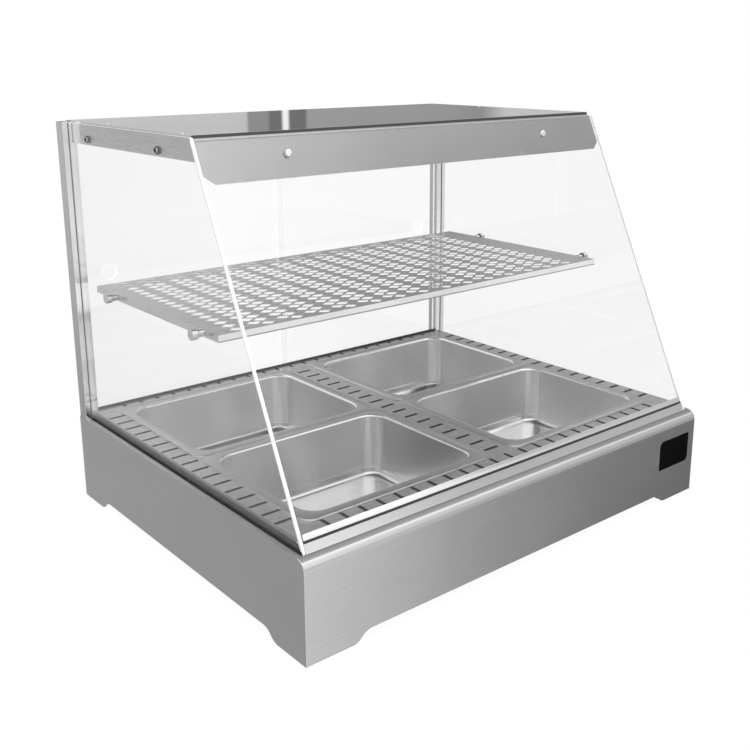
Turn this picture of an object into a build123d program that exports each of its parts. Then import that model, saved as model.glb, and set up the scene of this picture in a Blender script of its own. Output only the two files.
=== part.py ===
from build123d import *
import math
import os

# A countertop heated display case, in mm. The origin is on the floor under the middle of the case,
# +Z is up, and the customer's side with the leaning front glass faces -Y.

# Overall heights, the sheet, the running clearance and how far a cutter runs past a skin
HEIGHT = 621.0
BASE_HEIGHT = 141.0
SHEET = 1.2
RUN = 0.3
CUT = 1.0

# Base panels and their feet
FRONT_ROLL = 16.0
FOOT_HEIGHT = 14.5
SIDE_FOOT = 61.0
FRONT_FOOT = 69.5
FOOT_CURVE = 34.0
SIDE_FOOT_RETURN = 25.0
FRONT_FOOT_RETURN = 15.0
PANEL_RETURN = 6.5
TRAY_LIP = 10.0

# Deck and its slots
DECK_RISE = 10.6
DECK_SETBACK = 32.0
SLOT_PITCH = 30.0
SLOT_WIDTH = 4.0
SIDE_SLOT = 26.0
FRONT_SLOT = 21.0
REAR_SLOT = 9.0
SIDE_SLOT_INSET = 15.75
FRONT_SLOT_INSET = 17.8
REAR_SLOT_INSET = 9.7
SIDE_SLOT_SHIFT = -0.6

# Glass and the channels that it stands in
SIDE_CHANNEL = 12.7
CHANNEL_DEPTH = 13.0
SIDE_GLASS = 4.0
SIDE_GLASS_INSET = 9.5
SIDE_GLASS_TOP_GAP = 2.0
FRONT_GLASS = 6.0
FRONT_GLASS_SETBACK = 23.2
FRONT_GLASS_LEAN = 25.1
FRONT_GLASS_TOP_GAP = 5.0
GLASS_FIT = 0.2
FRONT_CHANNEL_LIP = 0.4

# Rear posts
POST = 23.8
POST_WALL = 1.5
POST_SLOT_DEPTH = 10.0

# Gastronorm pans, half size and 100 deep
PAN_LENGTH = 325.0
PAN_WIDTH = 265.0
PAN_DEPTH = 100.0
PAN_SHEET = 0.8
PAN_RIM = 13.0
PAN_RIM_HEIGHT = 1.9
PAN_RIM_CORNER = 16.0
PAN_CORNER = 30.0
PAN_TAPER = 5.0
PAN_FLOOR_ROUND = 13.0
PAN_AISLE = 50.0
PAN_GAP = 0.5
PAN_SIDE_MARGIN = 48.0
PAN_FRONT_MARGIN = 62.75
PAN_REAR_MARGIN = 48.75
CUTOUT_CLEARANCE = 1.5

# Shelf and its pegs
SHELF_SIDE_GAP = 9.5
SHELF_REAR_GAP = 37.5
SHELF_DEPTH = 370.4
SHELF_TOP = 368.5
SHELF_EDGE = 10.0
DIAMOND = 15.6
DIAMOND_PITCH = 46.7
DIAMOND_ROW = 20.2
DIAMOND_START_X = 35.0
DIAMOND_START_Y = 14.2
DIAMOND_END_X = 50.0
DIAMOND_END_Y = 12.0
DIAMOND_OFFSET = 30.3
PEG_REAR_INSET = 72.7
PEG_FRONT_INSET = 38.7
PEG_PIN = 5.0
PEG_PIN_REACH = 10.0
PEG_SLEEVE = 10.5
PEG_CAP = 15.0
PEG_CAP_LENGTH = 8.3

# Canopy
CANOPY_HEIGHT = 32.5
CANOPY_FLANGE_DROP = 61.0
CANOPY_INSET = 16.0
CANOPY_FOLD = 18.0
CANOPY_SEAM = 0.5
FLANGE_CORNER_X = 14.0
FLANGE_CORNER_Z = 11.0

# Glass screws
SCREW_SHANK = 6.0
SCREW_HEAD = 11.0
SCREW_HEAD_HEIGHT = 2.0
SCREW_NUT = 10.0
SCREW_NUT_HEIGHT = 4.0
SIDE_SCREW_DROP = 24.0
SIDE_SCREW_SETBACKS = (64.2, 285.2)
FRONT_SCREW_INSET = 148.0
FRONT_SCREW_DROP = 28.0

# Sliding doors and their tracks
DOOR_GLASS = 5.0
DOOR_OVERLAP = 20.0
DOOR_GROOVE_FIT = 0.3
DOOR_TRACK_START = 3.4
TRACK_WALL = 1.2
TRACK_RIB = 1.4
LOWER_TRACK_HEIGHT = 4.0
UPPER_TRACK_HEIGHT = 18.0
DOOR_TOP_HOLD = 9.0
FINGER_HOLE = 25.0
FINGER_HOLE_INSET = 44.0
FINGER_HOLE_RISE = 5.5

# Heated well, insulation, elements and what guards them
WELL_SHEET = 0.9
WELL_GAP = 23.5
WELL_REAR_STEP = 34.0
WELL_STEP_DROPS = (36.0, 13.0)
ELEMENT = 8.0
ELEMENT_RISE = 8.0
ELEMENT_COUNT = 4
ELEMENT_END_GAP = 60.0
BRACKET_WIDTH = 14.0
BRACKET_END_GAP = 198.5
SENSOR = 6.0
SENSOR_LENGTH = 90.0
SENSOR_DROP = 8.0
THERMAL_CUTOUT = 18.0
THERMAL_CUTOUT_DEPTH = 8.0
THERMAL_CUTOUT_DROP = 40.0
THERMAL_CUTOUT_TAB = (24.0, 1.5, 10.0)
THERMAL_CUTOUT_STEP = 130.0

# Lamp in the canopy
LAMP = 16.0
LAMP_INSET = 102.0
LAMP_SETBACK = 237.2
LAMP_DROP = 18.0
REFLECTOR_HALF = 34.0
REFLECTOR_INSET = 72.0
HOLDER_LENGTH = 16.0
HOLDER_HALF = 9.5

# Controls on the rear panel
REAR_PANEL_INSET = 21.0
BEZEL_LENGTH = 190.0
BEZEL_HEIGHT = 70.0
BEZEL_SHEET = 1.0
BEZEL_CORNER = 6.0
CONTROL_DROP = 59.0
KNOB_INSET = 98.0
KNOB = 38.0
KNOB_DEPTH = 16.0
KNOB_TAPER = 6.0
KNOB_GRIP = 12.0
KNOB_GRIP_RISE = 6.0
KNOB_SKIRT = 44.0
KNOB_SKIRT_DEPTH = 4.0
SHAFT = 6.0
SHAFT_REACH = 14.0
SHAFT_FIT = 0.05
BUSH = 10.0
THERMOSTAT = 36.0
THERMOSTAT_DEPTH = 26.0
SWITCH_STEPS = (57.0, 92.0)
SWITCH_LENGTH = 28.0
SWITCH_WIDTH = 20.0
SWITCH_FLANGE = 2.0
SWITCH_BODY = 24.0
SWITCH_WALL = 1.5
SWITCH_WELL = 10.0
ROCKER_TILT = 10.0
ROCKER_PIN = 2.4
ROCKER_SINK = 5.0
ROCKER_END_GAP = 0.8
ROCKER_BACK = 1.5
ROCKER_TIP = 2.6
ROCKER_RIDGE = 5.2
PILOT_STEP = 124.0
PILOT = 9.0
PILOT_RING = 12.0
PILOT_RING_DEPTH = 1.5
PILOT_LENS = 3.0
PILOT_BODY = 18.0
GLAND_INSET = 68.0
GLAND_RISE = 48.0
GLAND = 20.0
GLAND_BORE = 9.0
GLAND_STEM = 14.0
GLAND_HEXAGON = 6.0
GLAND_LOCKNUT = 4.0
GLAND_TAIL = 8.0
GLAND_DOME = 16.8
GLAND_DOME_DEPTH = 10.0
GLAND_DOME_TAPER = 12.0
TERMINAL_POLES = 4
TERMINAL_PITCH = 12.0
TERMINAL_HEIGHT = 16.0
TERMINAL_DEPTH = 18.0
TERMINAL_GROOVE = (2.0, 6.0)
TERMINAL_SETBACK = 4.0
TERMINAL_INSET = 188.0

# Places that follow from the sizes
width = 2 * PAN_LENGTH + PAN_AISLE + 2 * PAN_SIDE_MARGIN
depth = 2 * PAN_WIDTH + PAN_GAP + PAN_FRONT_MARGIN + PAN_REAR_MARGIN
half_width = width / 2
half_depth = depth / 2
inside_half = half_width - SHEET
deck_top = BASE_HEIGHT + DECK_RISE
deck_under = deck_top - SHEET
deck_front = -half_depth + DECK_SETBACK
rear_face = half_depth - REAR_PANEL_INSET
post_front = half_depth - POST
post_inner = inside_half - POST
post_x = half_width - SHEET - POST / 2
channel_outer = half_width - PANEL_RETURN
channel_inner = channel_outer - SIDE_CHANNEL
deck_half = channel_inner + SHEET
channel_floor = BASE_HEIGHT - CHANNEL_DEPTH
side_glass_out = half_width - SIDE_GLASS_INSET
side_glass_in = side_glass_out - SIDE_GLASS
canopy_half = half_width - CANOPY_INSET
canopy_bottom = HEIGHT - CANOPY_HEIGHT
canopy_roof = HEIGHT - SHEET
lean = math.tan(math.radians(FRONT_GLASS_LEAN))
lean_cosine = math.cos(math.radians(FRONT_GLASS_LEAN))
glass_foot_y = -half_depth + FRONT_GLASS_SETBACK
pan_pitch_x = PAN_LENGTH + PAN_AISLE
pan_pitch_y = PAN_WIDTH + PAN_GAP
pan_centre_y = -half_depth + PAN_FRONT_MARGIN + PAN_WIDTH + PAN_GAP / 2
shelf_length = 2 * (side_glass_in - SHELF_SIDE_GAP)
shelf_under = SHELF_TOP - SHEET
shelf_rear = post_front - SHELF_REAR_GAP
shelf_front = shelf_rear - SHELF_DEPTH
shelf_centre_y = (shelf_front + shelf_rear) / 2
peg_rear_y = shelf_rear - PEG_REAR_INSET
peg_front_y = shelf_front + PEG_FRONT_INSET
peg_z = shelf_under - RUN - PEG_PIN / 2
well_floor = deck_top + PAN_RIM_HEIGHT - PAN_DEPTH - WELL_GAP
well_half = channel_inner - RUN
well_front = deck_front + SHEET + RUN
well_rear = post_front - RUN
well_low_rear = well_rear - WELL_REAR_STEP
well_step_low, well_step_high = (BASE_HEIGHT - drop for drop in WELL_STEP_DROPS)
element_z = well_floor + WELL_SHEET + ELEMENT_RISE + ELEMENT / 2
element_pitch = (well_low_rear - well_front) / ELEMENT_COUNT
element_rows = [well_front + (row + 0.5) * element_pitch for row in range(ELEMENT_COUNT)]
tray_top = FOOT_HEIGHT + SHEET
track_half = post_inner - RUN
side_screw_rows = [post_front - setback for setback in SIDE_SCREW_SETBACKS]
front_screw_x = half_width - FRONT_SCREW_INSET
lamp_y = post_front - LAMP_SETBACK
lamp_z = canopy_roof - LAMP_DROP
lamp_half = canopy_half - LAMP_INSET
bezel_face = rear_face + BEZEL_SHEET
control_z = BASE_HEIGHT - CONTROL_DROP
knob_x = KNOB_INSET - half_width
switch_places = [knob_x + step for step in SWITCH_STEPS]
pilot_x = knob_x + PILOT_STEP
gland_x = half_width - GLAND_INSET


def lean_y(z, off=0.0):
    """Return y on the front glass's middle plane at height z, or at a distance behind that plane."""
    return glass_foot_y + lean * (z - deck_top) + off / lean_cosine


def block(x_range, y_range, z_range):
    """Return a box between two corners."""
    size = [high - low for low, high in (x_range, y_range, z_range)]
    centre = [(high + low) / 2 for low, high in (x_range, y_range, z_range)]
    return Pos(*centre) * Box(*size)


def folded(points, turn, sheet=SHEET):
    """Return the section of a sheet folded along a skin, with its thickness to the left if turn is 1."""
    skin = [Vector(*point) for point in points]
    headings = [(end - start).normalized() for start, end in zip(skin, skin[1:])]
    normals = [Vector(-heading.Y, heading.X) * turn for heading in headings]
    back = []
    for point, before, after in zip(skin, [normals[0], *normals], [*normals, normals[-1]]):
        mitre = before + after
        back.append(point + mitre * (2 * sheet / mitre.dot(mitre)))
    return make_face(Polyline(*skin, *reversed(back), close=True))


def rolled(points, radii):
    """Return the section of a sheet bent along its outer skin, with its thickness to the right."""
    outline = offset(FilletPolyline(*points, radius=radii), SHEET, side=Side.RIGHT, closed=True)
    return make_face(outline.edges())


def along_x(section, low, high):
    """Return a (y, z) section drawn out from x = low to x = high."""
    return extrude(Plane((low, 0, 0), x_dir=(0, 1, 0), z_dir=(1, 0, 0)) * section, high - low)


def along_y(section, low, high):
    """Return an (x, z) section drawn out from y = low to y = high."""
    return extrude(Plane((0, high, 0), x_dir=(1, 0, 0), z_dir=(0, -1, 0)) * section, high - low)


def rod(start, end, radius):
    """Return a round bar between two points."""
    axis = Vector(*end) - Vector(*start)
    return extrude(Plane(start, z_dir=axis) * Circle(radius), axis.length)


def mirrored(solid):
    """Return a left piece's mirror image on the right."""
    return mirror(solid, Plane.YZ)


def foot_gap(low, high):
    """Return the face that is open under a panel between two feet, with an ogee at each foot."""
    rise = (FOOT_CURVE / 2, FOOT_HEIGHT / 2)
    left_middle = (low + rise[0], rise[1])
    right_middle = (high - rise[0], rise[1])
    left_top = (low + FOOT_CURVE, FOOT_HEIGHT)
    right_top = (high - FOOT_CURVE, FOOT_HEIGHT)
    edges = [
        TangentArc((low, 0), left_middle, tangent=(1, 0)),
        TangentArc(left_top, left_middle, tangent=(-1, 0)),
        Line(left_top, right_top),
        TangentArc(right_top, right_middle, tangent=(1, 0)),
        TangentArc((high, 0), right_middle, tangent=(-1, 0)),
        Line((high, 0), (high, -CUT)),
        Line((high, -CUT), (low, -CUT)),
        Line((low, -CUT), (low, 0)),
    ]
    return make_face(edges)


def base_front_panel():
    """Front panel: foot return, upright face, rolled edge and the strip under the glass channel."""
    strip_rear = deck_front + SHEET
    path = [
        (-half_depth + FRONT_FOOT_RETURN, 0),
        (-half_depth, 0),
        (-half_depth, BASE_HEIGHT),
        (strip_rear, BASE_HEIGHT),
    ]
    bottom_bend = SHEET + RUN
    section = rolled(path, [bottom_bend, FRONT_ROLL])
    panel = along_x(section, -inside_half, inside_half)
    gap_half = half_width - FRONT_FOOT
    panel -= along_y(foot_gap(-gap_half, gap_half), -half_depth - CUT, strip_rear)
    notch_y = (lean_y(BASE_HEIGHT, -FRONT_GLASS / 2) - RUN, strip_rear + CUT)
    notch_z = (BASE_HEIGHT - 2 * SHEET, BASE_HEIGHT + CUT)
    notch = block((-inside_half - CUT, -channel_inner), notch_y, notch_z)
    return panel - notch - mirrored(notch)


def base_left_panel():
    """Side panel: flat sheet with a rounded front corner, top return and foot returns."""
    outline = Rectangle(depth, BASE_HEIGHT, align=(Align.CENTER, Align.MIN))
    corner = outline.vertices().group_by(Axis.Y)[-1].sort_by(Axis.X)[0]
    outline = fillet(corner, FRONT_ROLL)
    outline -= foot_gap(-half_depth + SIDE_FOOT, half_depth - SIDE_FOOT)
    panel = along_x(outline, -half_width, -inside_half)
    return_front = lean_y(BASE_HEIGHT, -FRONT_GLASS / 2) - RUN
    return_x = (-inside_half, -channel_outer)
    panel += block(return_x, (return_front, post_front), (BASE_HEIGHT - SHEET, BASE_HEIGHT))
    foot_x = (-inside_half, -half_width + SIDE_FOOT_RETURN)
    front_foot = (-half_depth + FRONT_FOOT_RETURN + RUN, -half_depth + SIDE_FOOT)
    rear_foot = (half_depth - SIDE_FOOT, half_depth)
    for foot_y in (front_foot, rear_foot):
        panel += block(foot_x, foot_y, (0, SHEET))
    return panel


def rear_hole(x, z, size, low, high):
    """Return the cutter of a round hole with running clearance, through a sheet between two depths."""
    return rod((x, low - CUT, z), (x, high + CUT, z), size / 2 + RUN)


def control_holes(low, high):
    """Return the cutters of every control's hole, through a sheet between two depths."""
    holes = [rear_hole(knob_x, control_z, BUSH, low, high)]
    holes.append(rear_hole(pilot_x, control_z, PILOT, low, high))
    for x in switch_places:
        holes.append(switch_block(x, RUN, low - CUT, high + CUT))
    return holes


def base_rear_panel():
    """Rear panel, set in between the posts, with the ledge that carries the door track."""
    ledge_rear = half_depth - SHEET - RUN
    path = [
        (rear_face - SIDE_FOOT_RETURN, tray_top),
        (rear_face, tray_top),
        (rear_face, BASE_HEIGHT - SHEET),
        (ledge_rear, BASE_HEIGHT - SHEET),
        (ledge_rear, BASE_HEIGHT - TRAY_LIP),
    ]
    panel = along_x(folded(path, 1), -track_half, track_half)
    panel -= control_holes(rear_face - SHEET, rear_face)
    return panel - rear_hole(gland_x, GLAND_RISE, GLAND_STEM, rear_face - SHEET, rear_face)


def base_tray():
    """Bottom tray between the panels, with its sides folded up."""
    span_y = (-half_depth + SHEET, post_front - RUN)
    tray = block((-inside_half, inside_half), span_y, (FOOT_HEIGHT, tray_top))
    lip_z = (tray_top, tray_top + TRAY_LIP)
    lip = block((-inside_half, -inside_half + SHEET), (span_y[0], post_front - RUN), lip_z)
    return tray + lip + mirrored(lip)


def pan_outline(grow):
    """Return a pan's rounded outline at the deck, grown by a distance."""
    size = [side - 2 * PAN_RIM + 2 * grow for side in (PAN_LENGTH, PAN_WIDTH)]
    return RectangleRounded(*size, PAN_CORNER + grow)


def pan_places():
    """Return each pan's name and the middle of its rim."""
    rows = {"front": -pan_pitch_y / 2, "rear": pan_pitch_y / 2}
    columns = {"left": -pan_pitch_x / 2, "right": pan_pitch_x / 2}
    return {
        f"pan_{row}_{column}": (x, pan_centre_y + y)
        for row, y in rows.items()
        for column, x in columns.items()
    }


def pan():
    """Drawn half-size pan with a flat rim, tapered walls and rounded floor, top at z = 0."""
    bowls = []
    for grow, bowl_depth in ((PAN_SHEET, PAN_DEPTH), (0, PAN_DEPTH - PAN_SHEET)):
        bowl = extrude(Plane.XY * pan_outline(grow), -bowl_depth, taper=PAN_TAPER)
        floor = bowl.faces().sort_by(Axis.Z)[0]
        bowls.append(fillet(floor.edges(), PAN_FLOOR_ROUND + grow))
    rim = RectangleRounded(PAN_LENGTH, PAN_WIDTH, PAN_RIM_CORNER)
    rim_hem = offset(rim, -PAN_SHEET)
    flange = extrude(rim, -PAN_SHEET) + extrude(rim - rim_hem, -PAN_RIM_HEIGHT)
    return flange + bowls[0] - bowls[1]


def deck_slots():
    """Return the plan of every slot in the deck."""
    side_x = deck_half - SIDE_SLOT_INSET
    side_count = int((2 * PAN_WIDTH + PAN_GAP) // SLOT_PITCH)
    edge_count = int((2 * PAN_LENGTH + PAN_AISLE) // SLOT_PITCH)
    columns = GridLocations(side_x, SLOT_PITCH, 3, side_count)
    slots = Pos(0, pan_centre_y + SIDE_SLOT_SHIFT) * columns * Rectangle(SIDE_SLOT, SLOT_WIDTH)
    edge_row = GridLocations(SLOT_PITCH, SLOT_PITCH, edge_count, 1)
    front_y = deck_front + FRONT_SLOT_INSET
    rear_y = rear_face - REAR_SLOT_INSET
    slots += Pos(0, front_y) * edge_row * Rectangle(SLOT_WIDTH, FRONT_SLOT)
    slots += Pos(0, rear_y) * edge_row * Rectangle(SLOT_WIDTH, REAR_SLOT)
    return slots


def deck_plate():
    """Slotted deck with its edges folded down and a cut-out for each pan."""
    main_rear = post_front - RUN
    fold_z = (BASE_HEIGHT, deck_under)
    plan = Pos(0, (deck_front + main_rear) / 2) * Rectangle(2 * deck_half, main_rear - deck_front)
    tongue_length = rear_face - main_rear
    plan += Pos(0, main_rear + tongue_length / 2) * Rectangle(2 * track_half, tongue_length)
    cutout = pan_outline(PAN_SHEET + CUTOUT_CLEARANCE)
    plan -= [Pos(x, y) * cutout for x, y in pan_places().values()]
    plan -= deck_slots()
    deck = Pos(0, 0, deck_under) * extrude(plan, SHEET)
    inner_half = deck_half - SHEET
    deck += block((-deck_half, deck_half), (deck_front, deck_front + SHEET), fold_z)
    deck += block((-track_half, track_half), (rear_face - SHEET, rear_face), fold_z)
    side = block((-deck_half, -inner_half), (deck_front, main_rear), fold_z)
    return deck + side + mirrored(side)


def left_side_channel():
    """Channel beside the deck that the side glass stands in."""
    path = [
        (-channel_outer + SHEET, BASE_HEIGHT),
        (-channel_outer + SHEET, channel_floor + SHEET),
        (-channel_inner - SHEET, channel_floor + SHEET),
        (-channel_inner - SHEET, BASE_HEIGHT),
    ]
    front = lean_y(BASE_HEIGHT, -FRONT_GLASS / 2) - RUN / 2
    return along_y(folded(path, -1), front, post_front)


def front_glass_channel():
    """Leaning channel for the front glass, with a lip back to the deck."""
    grip = FRONT_GLASS / 2 + GLASS_FIT
    floor = BASE_HEIGHT + SHEET
    outer_top = deck_top + FRONT_CHANNEL_LIP
    path = [
        (deck_front - RUN, deck_top),
        (lean_y(deck_top, grip), deck_top),
        (lean_y(floor, grip), floor),
        (lean_y(floor, -grip), floor),
        (lean_y(outer_top, -grip), outer_top),
    ]
    reach = side_glass_in - RUN
    return along_x(folded(path, 1), -reach, reach)


def left_post():
    """Rear post: square tube with the side glass's slot in its front wall."""
    centre = Pos(-post_x, half_depth - POST / 2)
    slot_x = -(side_glass_in + side_glass_out) / 2
    slot_width = SIDE_GLASS + 2 * GLASS_FIT + RUN
    slot = Pos(slot_x, post_front + POST_SLOT_DEPTH / 2) * Rectangle(slot_width, POST_SLOT_DEPTH)
    lining_size = (slot_width + 2 * POST_WALL, POST_SLOT_DEPTH + POST_WALL)
    lining = Pos(slot_x, post_front + lining_size[1] / 2) * Rectangle(*lining_size)
    hollow = centre * Rectangle(POST - 2 * POST_WALL, POST - 2 * POST_WALL)
    section = centre * Rectangle(POST, POST) - (hollow - lining) - slot
    return Pos(0, 0, SHEET) * extrude(section, canopy_roof - SHEET)


def left_side_glass():
    """Side glass: front edge leans with the front glass, rear edge stands in the post."""
    bottom = channel_floor + SHEET + RUN
    rear = post_front + POST_SLOT_DEPTH - RUN
    top = HEIGHT - SIDE_GLASS_TOP_GAP
    front_low = lean_y(BASE_HEIGHT, -FRONT_GLASS / 2)
    front_top = lean_y(top, -FRONT_GLASS / 2)
    corners = [(rear, bottom), (rear, top), (front_top, top), (front_low, BASE_HEIGHT)]
    outline = Polyline(*corners, (front_low, bottom), close=True)
    glass = along_x(make_face(outline), -side_glass_out, -side_glass_in)
    reach = (-side_glass_out - CUT, -side_glass_in + CUT)
    for y in side_screw_rows:
        z = HEIGHT - SIDE_SCREW_DROP
        glass -= rod((reach[0], y, z), (reach[1], y, z), SCREW_SHANK / 2 + RUN)
    for y in (peg_front_y, peg_rear_y):
        glass -= rod((reach[0], y, peg_z), (reach[1], y, peg_z), PEG_PIN / 2 + RUN)
    return glass


def lean_plane(x, z, off):
    """Return a plane square to the front glass, facing out, at a height and distance behind it."""
    radians = math.radians(FRONT_GLASS_LEAN)
    normal = (0, -math.cos(radians), math.sin(radians))
    return Plane((x, lean_y(z, off), z), x_dir=(1, 0, 0), z_dir=normal)


def front_screw_plane(x):
    """Return the plane under a front screw's head, on the front glass's outer skin."""
    return lean_plane(x, HEIGHT - FRONT_SCREW_DROP, -FRONT_GLASS / 2)


def front_screw_hole(x):
    """Return the clearance hole of a front screw, through the glass and the flange."""
    return extrude(front_screw_plane(x) * Circle(SCREW_SHANK / 2 + RUN), 2 * FRONT_GLASS, both=True)


def front_glass():
    """Leaning front glass, from its channel to the top of the canopy's front flange."""
    half = FRONT_GLASS / 2
    bottom = BASE_HEIGHT + SHEET + RUN
    top = HEIGHT - FRONT_GLASS_TOP_GAP
    square = FRONT_GLASS * lean_cosine * math.sin(math.radians(FRONT_GLASS_LEAN))
    corners = [
        (lean_y(bottom, half), bottom),
        (lean_y(top - square, half), top - square),
        (lean_y(top, -half), top),
        (lean_y(bottom + square, -half), bottom + square),
    ]
    reach = side_glass_in - RUN
    glass = along_x(make_face(Polyline(*corners, close=True)), -reach, reach)
    for x in (-front_screw_x, front_screw_x):
        glass -= front_screw_hole(x)
    return glass


def canopy_left_side():
    """Canopy side: folded channel whose front end is cut along the front flange."""
    outer = -canopy_half
    fold_x = outer + CANOPY_FOLD
    web = (outer, outer + SHEET)
    span_y = (lean_y(canopy_bottom) - POST, post_front)
    side = block(web, span_y, (canopy_bottom, HEIGHT))
    side += block((outer, fold_x), span_y, (canopy_bottom, canopy_bottom + SHEET))
    top_front = lean_y(HEIGHT) + CANOPY_FOLD + SHEET
    side += block((outer, fold_x), (top_front, post_front), (canopy_roof - SHEET, canopy_roof))
    cut = lean_plane(0, HEIGHT, FRONT_GLASS / 2 + SHEET) * Rectangle(width, width)
    side -= extrude(cut, 2 * POST)
    for y in side_screw_rows:
        z = HEIGHT - SIDE_SCREW_DROP
        side -= rod((outer - CUT, y, z), (outer + SHEET + CUT, y, z), SCREW_SHANK / 2 + RUN)
    return side


def canopy_front_flange():
    """Deep front flange behind the front glass, with rounded-off lower corners and a top return."""
    skin = FRONT_GLASS / 2
    low = HEIGHT - CANOPY_FLANGE_DROP
    back = skin + SHEET
    corners = [(lean_y(low, skin), low), (lean_y(HEIGHT, skin), HEIGHT)]
    corners += [(lean_y(HEIGHT, back), HEIGHT), (lean_y(low, back), low)]
    half = canopy_half - CANOPY_SEAM / 2
    flange = along_x(make_face(Polyline(*corners, close=True)), -half, half)
    for x, z in ((-half, low), (half, low)):
        inward = math.copysign(FLANGE_CORNER_X, -x)
        lift = FLANGE_CORNER_Z
        corner = Polyline((x, z), (x + inward, z), (x, z + lift), close=True)
        flange -= along_y(make_face(corner), lean_y(low) - POST, lean_y(HEIGHT) + POST)
    fold_y = (lean_y(canopy_roof, back) - SHEET / 2, lean_y(HEIGHT) + CANOPY_FOLD)
    fold_half = canopy_half - SHEET - RUN
    flange += block((-fold_half, fold_half), fold_y, (canopy_roof - SHEET, canopy_roof))
    for x in (-front_screw_x, front_screw_x):
        flange -= front_screw_hole(x)
    return flange


def canopy_top():
    """Top sheet, set between the canopy's sides and over the posts."""
    half = canopy_half - SHEET - CANOPY_SEAM
    front = lean_y(HEIGHT, FRONT_GLASS / 2 + SHEET) + CANOPY_SEAM
    return block((-half, half), (front, half_depth), (canopy_roof, HEIGHT))


def canopy_rear_rail():
    """Rear rail between the posts: a channel over the upper door track."""
    bottom = canopy_bottom + UPPER_TRACK_HEIGHT
    path = [
        (half_depth - SHEET, canopy_roof),
        (half_depth - SHEET, bottom),
        (post_front, bottom),
        (post_front, canopy_roof),
    ]
    return along_x(folded(path, -1), -track_half, track_half)


def door_planes():
    """Return the y range of the inner and the outer door."""
    groove = DOOR_GLASS + 2 * DOOR_GROOVE_FIT
    inner = rear_face + DOOR_TRACK_START + TRACK_WALL + DOOR_GROOVE_FIT
    outer = inner + groove + TRACK_RIB
    return (inner, inner + DOOR_GLASS), (outer, outer + DOOR_GLASS)


def door_track(bottom, height, opens_up):
    """Return a two-groove door track between the posts, open upwards or downwards."""
    start = rear_face + DOOR_TRACK_START
    width = 2 * (TRACK_WALL + DOOR_GLASS + 2 * DOOR_GROOVE_FIT) + TRACK_RIB
    track = block((-track_half, track_half), (start, start + width), (bottom, bottom + height))
    z_range = (bottom + SHEET, bottom + height) if opens_up else (bottom, bottom + height - SHEET)
    for low, high in door_planes():
        groove_y = (low - DOOR_GROOVE_FIT, high + DOOR_GROOVE_FIT)
        track -= block((-track_half, track_half), groove_y, z_range)
    return track


def door(left):
    """Sliding glass door with a finger hole near its closing edge."""
    reach = (-track_half + RUN, DOOR_OVERLAP / 2) if left else (-DOOR_OVERLAP / 2, track_half - RUN)
    low, high = door_planes()[1 if left else 0]
    bottom = BASE_HEIGHT + SHEET + RUN
    top = canopy_bottom + DOOR_TOP_HOLD
    x = math.copysign(track_half - FINGER_HOLE_INSET, -1 if left else 1)
    z = (bottom + top) / 2 + FINGER_HOLE_RISE
    hole = rod((x, low - CUT, z), (x, high + CUT, z), FINGER_HOLE / 2)
    return block(reach, (low, high), (bottom, top)) - hole


def shelf_holes():
    """Return the plan of the shelf's diamond holes, in columns that nest between each other."""
    diamond = Rot(0, 0, 45) * Rectangle(DIAMOND / math.sqrt(2), DIAMOND / math.sqrt(2))
    first_x = DIAMOND_START_X - shelf_length / 2
    first_y = shelf_front + DIAMOND_START_Y
    columns = int((shelf_length - DIAMOND_START_X - DIAMOND_END_X) // DIAMOND_PITCH) + 1
    rows = int((SHELF_DEPTH - DIAMOND_START_Y - DIAMOND_END_Y) // DIAMOND_ROW) + 1
    places = []
    for column in range(columns):
        for row in range(rows):
            places.append((first_x + column * DIAMOND_PITCH, first_y + row * DIAMOND_ROW))
    for column in range(columns - 1):
        for row in range(rows - 1):
            x = first_x + DIAMOND_OFFSET + column * DIAMOND_PITCH
            places.append((x, first_y + (row + 0.5) * DIAMOND_ROW))
    return [Pos(x, y) * diamond for x, y in places]


def shelf():
    """Pierced shelf with its four edges folded down and a notch over each peg."""
    plan = Pos(0, shelf_centre_y) * Rectangle(shelf_length, SHELF_DEPTH)
    top = Pos(0, 0, shelf_under) * extrude(plan - shelf_holes(), SHEET)
    inner = Pos(0, shelf_centre_y) * Rectangle(shelf_length - 2 * SHEET, SHELF_DEPTH - 2 * SHEET)
    fold = extrude(plan - inner, -(SHELF_EDGE - SHEET))
    fold = Pos(0, 0, shelf_under) * fold
    notch_z = (SHELF_TOP - SHELF_EDGE - CUT, shelf_under)
    notch_half = PEG_PIN / 2 + RUN
    for y in (peg_front_y, peg_rear_y):
        notch_x = (-shelf_length / 2 - CUT, shelf_length / 2 + CUT)
        fold -= block(notch_x, (y - notch_half, y + notch_half), notch_z)
    return top + fold


def left_shelf_peg(y):
    """Shelf peg: cap outside the glass, shank through it, sleeve inside it and a pin."""
    sleeve_end = -shelf_length / 2 - RUN
    pin_end = -shelf_length / 2 + PEG_PIN_REACH
    cap_start = -side_glass_out - PEG_CAP_LENGTH
    peg = rod((cap_start, y, peg_z), (-side_glass_out, y, peg_z), PEG_CAP / 2)
    peg += rod((-side_glass_out, y, peg_z), (pin_end, y, peg_z), PEG_PIN / 2)
    return peg + rod((-side_glass_in, y, peg_z), (sleeve_end, y, peg_z), PEG_SLEEVE / 2)


def glass_screw(place, grip):
    """Screw with its head on a plane that faces out, its shank through the grip, and its nut."""
    head = extrude(place * Circle(SCREW_HEAD / 2), SCREW_HEAD_HEIGHT)
    shank = extrude(place * Circle(SCREW_SHANK / 2), -grip)
    nut_face = Plane(place.location * Location((0, 0, -grip)))
    nut = extrude(nut_face * RegularPolygon(SCREW_NUT / 2, 6), -SCREW_NUT_HEIGHT)
    return head + shank + nut


def side_screw_plane(y, x):
    """Return a plane at a side screw, facing out to the left."""
    return Plane((x, y, HEIGHT - SIDE_SCREW_DROP), x_dir=(0, 1, 0), z_dir=(-1, 0, 0))


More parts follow.
